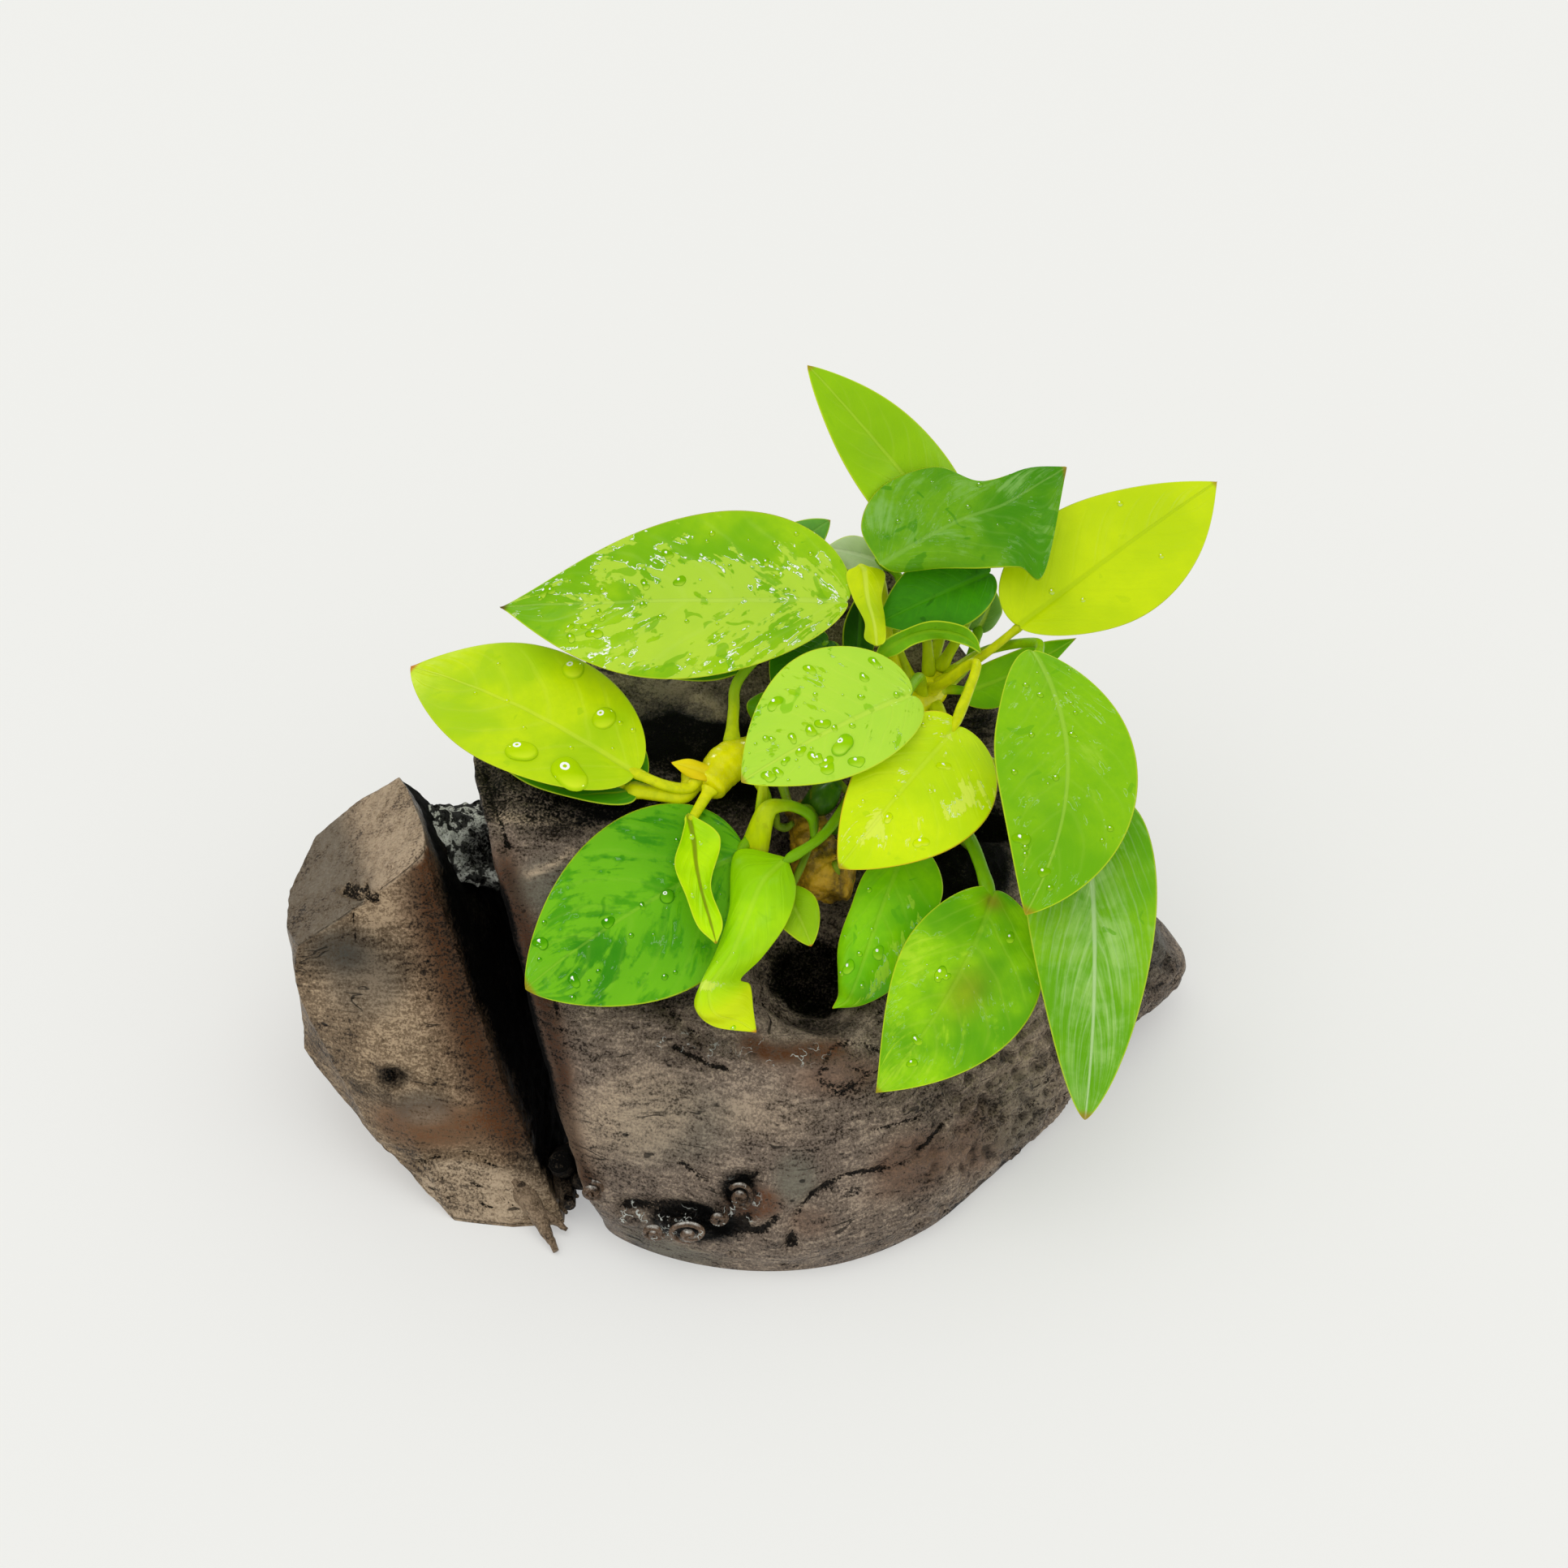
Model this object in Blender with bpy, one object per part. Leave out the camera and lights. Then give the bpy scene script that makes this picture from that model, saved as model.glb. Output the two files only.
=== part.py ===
"""Anubias on driftwood: a leafy water plant grown onto one chunk of dark driftwood.

The wood is a rounded chunk with a flat underside. A deep cleft parts a leaning slab, the left fork, from the
trunk. The plant creeps over a hollow in the trunk's top: a short rhizome with two crowns, an older brown end
that sits behind a pit in the wood, and some two dozen ovate leaves on short stalks.

The frame has +X to the right, +Y to the back and +Z up. Its origin lies on the flat underside of the trunk.
"""

import math
from dataclasses import dataclass

import bmesh
import bpy
import numpy as np

MM = 0.001          # every size below is in millimetres
GAP = 0.35          # clearance between pieces that meet

# Driftwood trunk

TRUNK_CENTRE = np.array([14.0, -2.0])

# Heights of the trunk's top at named spots: x, y, z.
TRUNK_TOP_SPOTS = {
    "left rear corner": (-45, 8, 58),
    "left front corner": (-41, -9, 58),
    "left plateau": (-32, 0, 59),
    "front crest": (-22, -8, 57),
    "left rear rim": (-32, 19, 60),
    "rear left rim": (-19, 29, 65),
    "rear rim": (1, 39, 70),
    "peak": (20, 45, 77),
    "rear right rim": (33, 38, 65),
    "right rear rim": (45, 32, 54),
    "right arm root": (57, 24, 42),
    "right arm": (65, 17, 30),
    "right end": (72, 12, 22),
    "slope behind the crown": (-17, 20, 61),
    "wood above the crown": (-3, 18, 60),
    "seat of the left crown": (-1, 3, 56.4),
    "seat of the right crown": (31, 27, 53),
    "front of the seat": (-6, -10, 53),
    "front shoulder": (-14, -24, 46),
    "front left shoulder": (-30, -22, 48),
    "front low shoulder": (-6, -36, 36),
    "rear of the hollow": (16, 24, 50),
    "seat of the old rhizome": (16, -6, 40),
    "pit floor": (11, -19, 28),
    "pit left side": (1, -22, 41),
    "pit right side": (22, -20, 36),
    "pit lip": (12, -34, 34),
    "hollow": (40, 14, 33),
    "ledge": (42, 5, 41),
    "wood right of the crown": (44, 24, 50),
    "right shoulder": (50, -8, 33),
    "front right shoulder": (36, -28, 30),
}

# The trunk's side: direction seen from the centre (degrees from +X), then how far out its top edge lies,
# the reach and height of its shoulder, the reach and height of its belly, and the reach of its foot.
TRUNK_SIDE = (
    (0, 50, 56, 17, 58, 8, 56),
    (12, 58, 63, 12, 67, 6, 66),
    (25, 52, 57, 20, 61, 9, 58),
    (45, 46, 52, 38, 56, 16, 52),
    (65, 46, 52, 48, 56, 22, 52),
    (85, 46, 51, 58, 55, 26, 51),
    (110, 46, 51, 54, 56, 24, 52),
    (135, 47, 53, 50, 58, 22, 54),
    (155, 54, 60, 44, 63, 20, 58),
    (172, 61, 65, 44, 66, 20, 60),
    (190, 57, 62, 42, 62, 18, 58),
    (210, 50, 58, 36, 61, 14, 59),
    (228, 43, 54, 28, 60, 11, 58),
    (250, 40, 50, 24, 57, 9, 56),
    (270, 38, 48, 22, 54, 8, 53),
    (290, 35, 44, 21, 49.5, 8, 48.5),
    (312, 36, 41, 20, 45, 8, 44),
    (335, 40, 44, 19, 47, 8, 45),
)
TRUNK_COLUMNS = 52
TRUNK_SIDE_ROWS = 9
TRUNK_TOP_ROWS = 9

# Cleft between trunk and fork: both walls lean to the left as they rise.
TRUNK_WALL_FOOT_X = -23.0
TRUNK_WALL_LEAN = 0.32
TRUNK_WALL_REAR_TURN = 0.22
TRUNK_WALL_TURN_Y = -9.0
FORK_WALL_FOOT_X = -29.0
FORK_WALL_LEAN = 0.433
WALL_ROUNDING = 1.5
WEB_FRONT_Y = 12.0
WEB_TOP_Z = 43.0
WEB_BLEND = 4.0
WEB_REAR_Y = 30.0

# Left fork: matching points round its foot, its middle and its sawn top.
FORK_FOOT = (
    (-27, -45), (-38, -46), (-48, -44.5), (-61, -35), (-74, -22), (-75, -6),
    (-68, 12), (-52, 26), (-31, 30), (-27, 10), (-27, -12), (-27, -32),
)
FORK_MIDDLE = (
    (-39, -30), (-50, -31.5), (-61, -30), (-72, -25.5), (-75.5, -18), (-76, -5),
    (-71, 10), (-60, 19), (-44, 21), (-39, 5), (-39, -10), (-39, -22),
)
FORK_TOP = (
    (-50.5, -9), (-56, -14), (-62, -15.5), (-69, -20), (-74.5, -17), (-75, -5),
    (-71, 7), (-64, 12), (-57.5, 11.5), (-53, 4), (-50, -2), (-49.5, -6),
)
FORK_TOP_CORNER = (-51.5, 52.0)     # x and z of the sawn top's right end
FORK_TOP_TILT = 0.42
FORK_UNDERCUT_X = -48.0
FORK_UNDERCUT_SLOPE = 0.72
FORK_BACK_CURVE = (-6.0, 0.3, 44.0, 50.0)     # from this y, this turn, between these heights
FORK_COLUMNS = 36
FORK_ROWS = 9
FORK_CAP_ROWS = 4

# Splinter at the fork's foot, forked in two: start, end, start radius, end radius.
SPLINTER_SIDES = 6
SPLINTERS = (
    ((-37, -41, 6), (-30, -52, 0.9), 2.4, 0.5),
    ((-34, -45, 3.5), (-28.5, -48, 1.6), 1.2, 0.4),
)

# Rhizome: the creeping stem, from its growing tip on the left to the second crown.
RHIZOME_PATH = ((-5, -1, 59.5), (0, 5, 61), (10, 9, 58), (21, 16, 57.5), (32, 25, 58), (35, 29, 60))
RHIZOME_RADII = (2.6, 3.4, 2.9, 2.8, 3.4, 2.4)
OLD_RHIZOME_PATH = ((20, -8, 45.5), (15, -7, 45.8), (12.5, -2, 49.5), (11, 3, 53))
OLD_RHIZOME_RADII = (3.0, 4.6, 3.6, 2.6)
RING_COUNT = 7
OLD_RING_COUNT = 3
RING_DEPTH = 0.08
RHIZOME_SAMPLES = 25
OLD_RHIZOME_SAMPLES = 13
RHIZOME_SIDES = 8

LEAF_THICKNESS = 0.9
LEAF_CURL = 0.5
LEAF_WAVES = 1.5
LEAF_ROWS = 11
SMALL_LEAF_ROWS = 8
SMALL_LEAF_LENGTH = 24.0
LEAF_COLUMNS = 5
STALK_SAMPLES = 7
STATIONS = 100
STALK_SIDES = 6
STALK_SWELL = 1.1
STALK_TAPER = 0.8


@dataclass(frozen=True)
class Leaf:
    """One blade and its stalk, in millimetres and degrees.

    base and tip are the ends of the midrib, and face is the way the upper side looks. bow lifts the midrib
    towards face and sweep bends it sideways. fold raises both halves from flat and wave ripples the margins.
    belly is where the blade is widest. slant moves that towards the tip on the right half and towards the
    base on the left. skew makes the right half wider and point sharpens the tip. lobe is how far the base
    reaches back past the stalk. The stalk runs from the rhizome at station, from 0 at the growing tip to 1,
    through the points of via. A fused leaf is one with its stalk.
    """

    base: tuple
    tip: tuple
    face: tuple
    width: float
    station: float
    via: tuple = ()
    bow: float = 2.0
    sweep: float = 0.0
    fold: float = 8.0
    wave: float = 0.4
    belly: float = 0.40
    skew: float = 0.0
    slant: float = 0.0
    point: float = 0.85
    lobe: float = 2.0
    stalk: float = 0.9
    colour: str = "leaf_green"
    fused: bool = False


@dataclass(frozen=True)
class DrapedLeaf:
    """A blade that folds or twists, given by its ribs: left margin, midrib and right margin, base to tip.

    The stalk is given as a plain leaf's is.
    """

    ribs: tuple
    station: float
    via: tuple = ()
    stalk: float = 0.9
    colour: str = "leaf_green"
    fused: bool = False


LEAVES = {
    "leaf_upper_left": Leaf((18.5, 20.5, 82.5), (-40.5, 27.5, 75.5), (0, -0.34, 0.94), 33.5, 0.2,
                            ((-0.5, 10.5, 67), (0.5, 13, 72), (8, 17.5, 78)), bow=4, sweep=-1.9,
                            belly=0.38, slant=-0.06, skew=0.03, point=1.13, lobe=3),
    "leaf_left_yellow": Leaf((-17, -2, 64), (-56, 23, 66), (0, -0.2, 1), 27, 0.03, ((-10, -2.5, 62),),
                             bow=3, belly=0.42, colour="leaf_yellow"),
    "leaf_left_lower": Leaf((-14.5, 2, 62), (-44, 10, 62), (0, -0.15, 1), 20, 0.1, ((-9, 3.5, 62.5),),
                            bow=1, stalk=0.8),
    "leaf_front_left": Leaf((1.5, -11, 54), (-34.5, -32.5, 43.5), (-0.2, -0.5, 0.8), 32.5, 0.24,
                            ((5, -3, 57.5),), bow=4, sweep=0.2, belly=0.39, slant=-0.05, skew=-0.04,
                            point=0.78, fold=3, wave=0.2, colour="leaf_dark"),
    "leaf_front_small": Leaf((8, -17, 51.5), (12.5, -26.5, 47.5), (0.2, -0.6, 0.8), 8, 0.33,
                             ((9, -4, 58.5), (12.5, -4.5, 58), (13, -6.5, 54)), bow=1, stalk=0.7,
                             colour="leaf_yellow"),
    "leaf_centre": Leaf((29, 5, 75), (1, -11, 70), (0, -0.5, 0.86), 23, 0.78, ((31, 18, 68),),
                        bow=3, lobe=4, skew=0.2),
    "leaf_centre_yellow": Leaf((37, 4, 69), (17, -21, 60), (0.1, -0.5, 0.85), 23, 0.81,
                               ((35.5, 19, 66), (40.5, 15.5, 73)), bow=3, lobe=3, skew=-0.22,
                               colour="leaf_yellow"),
    "leaf_right": Leaf((49.5, 10.5, 80), (47, -32, 60), (0.1, -0.6, 0.8), 24, 0.97,
                       ((43, 28, 65.5), (50.5, 17.5, 76)), bow=4, sweep=-5.6, lobe=3, skew=0.03,
                       belly=0.48, slant=-0.04, point=0.9),
    "leaf_right_lower": Leaf((58, -8, 62), (57, -51, 32), (0.1, -0.75, 0.65), 22.5, 0.8,
                             ((38, 15, 56), (47, 6, 57), (55, -1, 61)), bow=3, sweep=-1, skew=0.05,
                             belly=0.24, point=0.72),
    "leaf_front_right": Leaf((43, -18, 52), (23, -45.5, 32.5), (0, -0.7, 0.7), 24, 0.72,
                             ((35, 2, 55), (39.5, -10, 55)), bow=3, sweep=-2, skew=-0.12, belly=0.4,
                             point=1.05, stalk=1.2),
    "leaf_top": Leaf((39.5, 37, 80), (12, 55.5, 106), (0.2, -0.6, 0.8), 17, 0.98, ((36.5, 36, 68),),
                     bow=3, sweep=-0.7, skew=-0.04, belly=0.36, slant=0.05),
    "leaf_upper_shaded": Leaf((43, 30, 81), (24, 22, 76.5), (0, -0.6, 0.8), 14, 1.0, ((39.5, 28.5, 72),),
                              bow=1, colour="leaf_dark"),
    "leaf_right_yellow": Leaf((48, 22, 76), (83, 49, 86), (0.1, -0.5, 0.85), 24, 0.88,
                              ((42, 22.5, 69),), bow=2, belly=0.38, slant=0.07, point=1.0,
                              colour="leaf_yellow"),
    "leaf_back_left": Leaf((3, 34, 77), (16, 42, 83), (0, -0.5, 0.86), 9, 0.47, ((11.5, 24, 66), (6, 33, 74)),
                           bow=1, colour="leaf_dark", fused=True),
    "leaf_back_pale": Leaf((25, 38, 77), (15, 38, 80), (0, -0.5, 0.86), 7, 0.78, ((27, 30, 68), (28, 37, 74)),
                           bow=1, colour="leaf_dark", fused=True),
    "leaf_shaded_left": Leaf((15.5, 23.5, 71.5), (6, 15, 68), (0, -0.4, 0.9), 12, 0.57,
                             ((17, 20, 64), (17, 24, 69)), bow=1, colour="leaf_dark", fused=True),
    "leaf_shaded_small": Leaf((4.5, 12.5, 62.8), (6, 16, 66.5), (-0.2, -1, 0.4), 7, 0.28, bow=1, fused=True),
    "leaf_under_upper_left": Leaf((6, 26, 71.5), (-14, 16, 70), (0, -0.4, 0.9), 12, 0.4,
                                  ((8, 20, 65), (8, 26, 69)), bow=1, fused=True),
    "leaf_shaded_centre": Leaf((20.5, 24, 65), (21, 30, 77), (0.2, -1, 0.4), 6, 0.65, (), bow=1,
                               colour="leaf_dark", fused=True),
    "leaf_back_right": Leaf((41.5, 33, 66), (44, 32, 76), (0.2, -1, 0.3), 6, 0.92, ((40, 30, 61),),
                            bow=1, fused=True),
}

DRAPED_LEAVES = {
    "leaf_upper_folded": DrapedLeaf((
        ((24, 23.5, 88), (24, 23.5, 88), (24, 23.5, 88)),
        ((21, 31.5, 90), (27.5, 25.5, 89), (27, 24, 86)),
        ((24.5, 38.5, 93), (33, 28, 91), (34, 25, 86)),
        ((33.5, 41.5, 95), (38.5, 31, 92), (40.5, 25, 86)),
        ((41, 37.5, 95), (45, 33.5, 93), (47.5, 24, 87)),
        ((48.5, 38.5, 96), (50.5, 36, 95), (51.5, 21, 88)),
        ((56, 40, 96), (56, 40, 96), (56, 40, 96)),
    ), 0.93, ((32, 30, 72), (28.5, 32, 82)), colour="leaf_dark"),
    "leaf_front_folded": DrapedLeaf((
        ((8.5, -13, 55), (8.5, -13, 55), (8.5, -13, 55)),
        ((0, -11.5, 55), (4.5, -21, 57), (10, -19.5, 54)),
        ((-1, -24.5, 54), (2, -28.5, 56), (8.5, -26.5, 53)),
        ((-3, -32, 52), (-0.5, -35, 54), (4.5, -31.5, 50)),
        ((-5.5, -36.5, 49), (-4, -38, 50), (1, -33.5, 47)),
        ((-6.5, -39, 46), (-3.5, -41, 47), (2.5, -33, 45)),
        ((-3.5, -40.5, 43), (0, -39, 43), (3, -36, 42)),
        ((3.5, -39, 40), (3.5, -39, 40), (3.5, -39, 40)),
    ), 0.56, ((20, 2, 58), (15, -9, 57)), colour="leaf_yellow"),
    "leaf_front_middle": DrapedLeaf((
        ((28.5, -7.5, 54), (28.5, -7.5, 54), (28.5, -7.5, 54)),
        ((22, -12.5, 52), (27, -13, 53), (33, -10, 52)),
        ((19, -19, 49), (24.5, -19, 50), (34.5, -15.5, 49)),
        ((17, -23.5, 45), (22, -25, 46), (31, -22, 45)),
        ((17, -27.5, 41), (20, -29, 42), (27, -27.5, 40)),
        ((17, -28.5, 38), (18.5, -29.5, 38), (21.5, -29.5, 37)),
        ((16, -29.5, 36), (16, -29.5, 36), (16, -29.5, 36)),
    ), 0.64, ((27, 4, 59),), colour="leaf_dark"),
    "leaf_young_curled": DrapedLeaf((
        ((-8, -7.5, 60), (-8, -7.5, 60), (-8, -7.5, 60)),
        ((-9, -12.5, 59), (-7, -11.5, 57.5), (-3.5, -11.5, 60)),
        ((-10, -19, 59), (-6.5, -17, 57), (-2.5, -14.5, 59)),
        ((-8, -26, 58.5), (-5.5, -23, 56.5), (-4, -23.5, 58.5)),
        ((-6, -31.5, 57), (-4, -29.5, 56), (-2, -30.5, 57)),
        ((-3, -33.5, 55), (-3, -33.5, 55), (-3, -33.5, 55)),
    ), 0.0, (), colour="leaf_yellow"),
    "leaf_yellow_small": DrapedLeaf((
        ((21, 26, 86), (21, 26, 86), (21, 26, 86)),
        ((18.5, 25, 85), (21.5, 25.5, 85), (25, 26.5, 84)),
        ((19.5, 21, 83), (22, 21, 83), (24.5, 22.5, 82)),
        ((21.5, 17, 81), (23, 17, 81), (25, 19, 80)),
        ((21.5, 15, 79), (23.5, 14.5, 79), (25, 14.5, 79)),
        ((23.5, 13.5, 78.5), (23.5, 13.5, 78.5), (23.5, 13.5, 78.5)),
    ), 0.74, ((26, 26, 70), (24.5, 29.5, 80)), colour="leaf_yellow"),
    "leaf_arched": DrapedLeaf((
        ((23, 15, 74), (23, 15, 74), (23, 15, 74)),
        ((24.5, 16.5, 77), (25.5, 16, 76), (27, 15.5, 75)),
        ((28.5, 17.5, 79), (29, 18, 77), (30, 17, 76)),
        ((33, 18.5, 80), (33, 18.5, 78), (34, 18.5, 76)),
        ((38, 18.5, 79), (37.5, 18.5, 77), (37, 17.5, 76)),
        ((40.5, 19, 76), (40, 18.5, 75), (39.5, 17.5, 75)),
        ((41.5, 18, 73), (41.5, 18, 73), (41.5, 18, 73)),
    ), 0.7, ((26, 19, 66),)),
    "leaf_right_back": DrapedLeaf((
        ((38.5, 23.5, 59.5), (38.5, 23.5, 59.5), (38.5, 23.5, 59.5)),
        ((41, 26.5, 62.5), (41.5, 24.5, 60), (40.5, 23, 57)),
        ((47, 28, 65), (47, 25.5, 62), (45.5, 23, 57)),
        ((52.5, 28.5, 67), (52.5, 26.5, 65), (51.5, 24, 62)),
        ((58.5, 29, 67.5), (58.5, 29, 67.5), (58.5, 29, 67.5)),
    ), 0.88, (), fused=True),
}

# The pointed scale beside the growing tip.
SCALE_LEAF = Leaf((-4.8, 3, 63.2), (-11.5, 4, 63.8), (0, -0.4, 0.9), 3.6, 0.1, bow=0.6, fold=25, lobe=0.5)

# Green roots that run down into the hollow.
ROOTS = {
    "root_middle": ((15, 9.5, 54.7), (19.5, 3, 54), (20, -2, 53.5), (17.5, -6, 51.6)),
    "root_right": ((28, 18, 54.5), (33, 12, 50), (36, 4, 46), (40, 1, 43.5)),
}
ROOT_RADIUS = 0.7
ROOT_SAMPLES = 10
ROOT_SIDES = 5


def curve_through(points, samples):
    """Return samples along a smooth Catmull-Rom curve through the points, ends included."""
    points = np.asarray(points, float)
    if len(points) == 2:
        share = np.linspace(0.0, 1.0, samples)[:, None]
        return points[0] * (1 - share) + points[1] * share
    padded = np.vstack([2 * points[0] - points[1], points, 2 * points[-1] - points[-2]])
    place = np.linspace(0.0, len(points) - 1.0, samples)
    index = np.minimum(place.astype(int), len(points) - 2)
    t = (place - index)[:, None]
    before, start, end, after = (padded[index + k] for k in range(4))
    return 0.5 * (2 * start + (end - before) * t + (2 * before - 5 * start + 4 * end - after) * t ** 2
                  + (3 * start - before - 3 * end + after) * t ** 3)


def round_curve(points, samples):
    """Return samples along a smooth closed curve through the points."""
    points = np.asarray(points, float)
    place = np.arange(samples) * len(points) / samples
    index = place.astype(int)
    t = (place - index)[:, None]
    before, start, end, after = (points[(index + k) % len(points)] for k in (-1, 0, 1, 2))
    return 0.5 * (2 * start + (end - before) * t + (2 * before - 5 * start + 4 * end - after) * t ** 2
                  + (3 * start - before - 3 * end + after) * t ** 3)


def around(table, angles):
    """Read the columns of a table of directions at the given angles, as smooth closed curves."""
    table = np.asarray(table, float)
    knots = table[:, 0]
    values = table[:, 1:]
    long_knots = np.concatenate([knots[-2:] - 360, knots, knots[:3] + 360])
    long_values = np.concatenate([values[-2:], values, values[:3]])
    slopes = np.gradient(long_values, long_knots, axis=0)
    index = np.searchsorted(long_knots, angles, side="right") - 1
    step = (long_knots[index + 1] - long_knots[index])[:, None]
    t = (np.asarray(angles)[:, None] - long_knots[index][:, None]) / step
    start, end = long_values[index], long_values[index + 1]
    start_slope, end_slope = slopes[index] * step, slopes[index + 1] * step
    return ((2 * t ** 3 - 3 * t ** 2 + 1) * start + (t ** 3 - 2 * t ** 2 + t) * start_slope
            + (3 * t ** 2 - 2 * t ** 3) * end + (t ** 3 - t ** 2) * end_slope)


def smooth_step(low, high, value):
    """Rise smoothly from 0 at low to 1 at high."""
    t = np.clip((value - low) / (high - low), 0.0, 1.0)
    return t * t * (3 - 2 * t)


def soft_floor(value, floor):
    """Keep value above floor with a rounded turn between the two."""
    excess = (value - floor) / WALL_ROUNDING
    return floor + WALL_ROUNDING * np.logaddexp(0.0, excess)


class SpotSheet:
    """A smooth sheet z(x, y) that passes through named spot heights."""

    SOFTNESS = 9.0

    def __init__(self, spots):
        """Solve the weights of one rounded cone per spot."""
        places = np.array(list(spots.values()), float)
        self.centres = places[:, :2]
        self.mean = places[:, 2].mean()
        self.weights = np.linalg.solve(self._kernel(self.centres), places[:, 2] - self.mean)

    def _kernel(self, points):
        """Return the rounded distance from every point to every spot."""
        apart = np.linalg.norm(points[:, None, :] - self.centres[None, :, :], axis=2)
        return np.sqrt(apart ** 2 + self.SOFTNESS ** 2)

    def height(self, x, y):
        """Return the sheet's height at x and y."""
        points = np.column_stack([np.ravel(x), np.ravel(y)])
        return (self.mean + self._kernel(points) @ self.weights).reshape(np.shape(x))


def trunk_wall_x(y, z):
    """Return the x of the trunk's cleft wall, and of the web's end where the web reaches the fork."""
    turned = TRUNK_WALL_REAR_TURN * np.maximum(0.0, y - TRUNK_WALL_TURN_Y)
    wall = TRUNK_WALL_FOOT_X - TRUNK_WALL_LEAN * z - turned
    end = FORK_WALL_FOOT_X - FORK_WALL_LEAN * z + GAP + WALL_ROUNDING * 0.7
    inside = (smooth_step(WEB_FRONT_Y, WEB_FRONT_Y + WEB_BLEND, y)
              * (1 - smooth_step(WEB_TOP_Z - WEB_BLEND, WEB_TOP_Z, z))
              * (1 - smooth_step(WEB_REAR_Y - WEB_BLEND, WEB_REAR_Y, y)))
    return wall + inside * (end - wall)


def fork_wall_x(y, z):
    """Return the x of the fork's cleft wall, which turns away at the back of the sawn top."""
    start_y, turn, low, high = FORK_BACK_CURVE
    turned = turn * np.maximum(0.0, y - start_y) * smooth_step(low, high, z)
    return FORK_WALL_FOOT_X - FORK_WALL_LEAN * z - turned


def trunk_rings():
    """Return the trunk's rings from foot to the middle of its top, shaped (rows, columns, 3)."""
    angles = np.arange(TRUNK_COLUMNS) * 360.0 / TRUNK_COLUMNS
    top, shoulder, shoulder_z, belly, belly_z, foot = around(TRUNK_SIDE, angles).T
    out = np.column_stack([np.cos(np.radians(angles)), np.sin(np.radians(angles))])
    sheet = SpotSheet(TRUNK_TOP_SPOTS)
    edge = TRUNK_CENTRE + out * top[:, None]
    edge_z = sheet.height(edge[:, 0], edge[:, 1])
    levels = np.array([
        np.column_stack([foot, np.zeros_like(foot)]), np.column_stack([belly, belly_z]),
        np.column_stack([shoulder, shoulder_z]), np.column_stack([top, edge_z]),
    ])
    profile = np.array([curve_through(levels[:, k], TRUNK_SIDE_ROWS) for k in range(TRUNK_COLUMNS)])
    reach = profile[:, :, 0].T
    side_z = np.maximum(profile[:, :, 1].T, 0.0)
    side = np.dstack([TRUNK_CENTRE[0] + reach * out[:, 0], TRUNK_CENTRE[1] + reach * out[:, 1], side_z])
    shares = np.linspace(1.0, 0.0, TRUNK_TOP_ROWS)[1:-1, None, None]
    plan = TRUNK_CENTRE + shares * (edge - TRUNK_CENTRE)[None]
    upper = np.dstack([plan, sheet.height(plan[..., 0], plan[..., 1])])
    rings = np.concatenate([side, upper])
    rings[..., 0] = soft_floor(rings[..., 0], trunk_wall_x(rings[..., 1], rings[..., 2]))
    crown = np.array([*TRUNK_CENTRE, float(sheet.height(*TRUNK_CENTRE))])
    base = np.array([*TRUNK_CENTRE, 0.0])
    return rings, base, crown


def fork_low_z(x):
    """Return the height of the fork's underside, which is undercut on the left."""
    return np.maximum(0.0, FORK_UNDERCUT_SLOPE * (FORK_UNDERCUT_X - x))


def fork_high_z(x):
    """Return the height of the fork's sawn top, a plane square to the leaning slab."""
    corner_x, corner_z = FORK_TOP_CORNER
    return corner_z + FORK_TOP_TILT * (x - corner_x)


def fork_rings():
    """Return the fork's rings from the middle of its underside to the middle of its sawn top."""
    outlines = np.array([round_curve(points, FORK_COLUMNS) for points in (FORK_FOOT, FORK_MIDDLE, FORK_TOP)])
    middles = outlines.mean(axis=1)
    rings = []
    for share in np.linspace(0.0, 1.0, FORK_CAP_ROWS)[1:-1]:
        rings.append((middles[0] + share * (outlines[0] - middles[0]), 0.0))
    for level in np.linspace(0.0, 1.0, FORK_ROWS):
        weights = ((1 - level) * (1 - 2 * level), 4 * level * (1 - level), level * (2 * level - 1))
        rings.append((sum(w * o for w, o in zip(weights, outlines)), level))
    for share in np.linspace(1.0, 0.0, FORK_CAP_ROWS)[1:-1]:
        rings.append((middles[2] + share * (outlines[2] - middles[2]), 1.0))
    solid = []
    for plan, level in rings:
        x, y = plan.T
        for _ in range(3):
            z = fork_low_z(x) + level * (fork_high_z(x) - fork_low_z(x))
            wall = fork_wall_x(y, z)
            x = -soft_floor(-plan[:, 0], -wall)
        solid.append(np.column_stack([x, y, fork_low_z(x) + level * (fork_high_z(x) - fork_low_z(x))]))
    base = np.array([*middles[0], fork_low_z(middles[0][0])])
    crown = np.array([*middles[2], fork_high_z(middles[2][0])])
    return np.array(solid), base, crown


def closed_mesh(name, rings, start, end):
    """Make a closed mesh from stacked rings and the two points that close them."""
    rows, columns = rings.shape[:2]
    vertices = np.vstack([start, rings.reshape(-1, 3), end]) * MM
    last = len(vertices) - 1
    faces = []
    for column in range(columns):
        after = (column + 1) % columns
        faces.append((0, 1 + after, 1 + column))
        for row in range(rows - 1):
            low = 1 + row * columns
            faces.append((low + column, low + after, low + columns + after, low + columns + column))
        top = 1 + (rows - 1) * columns
        faces.append((top + column, top + after, last))
    return mesh_from(name, vertices, faces)


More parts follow.
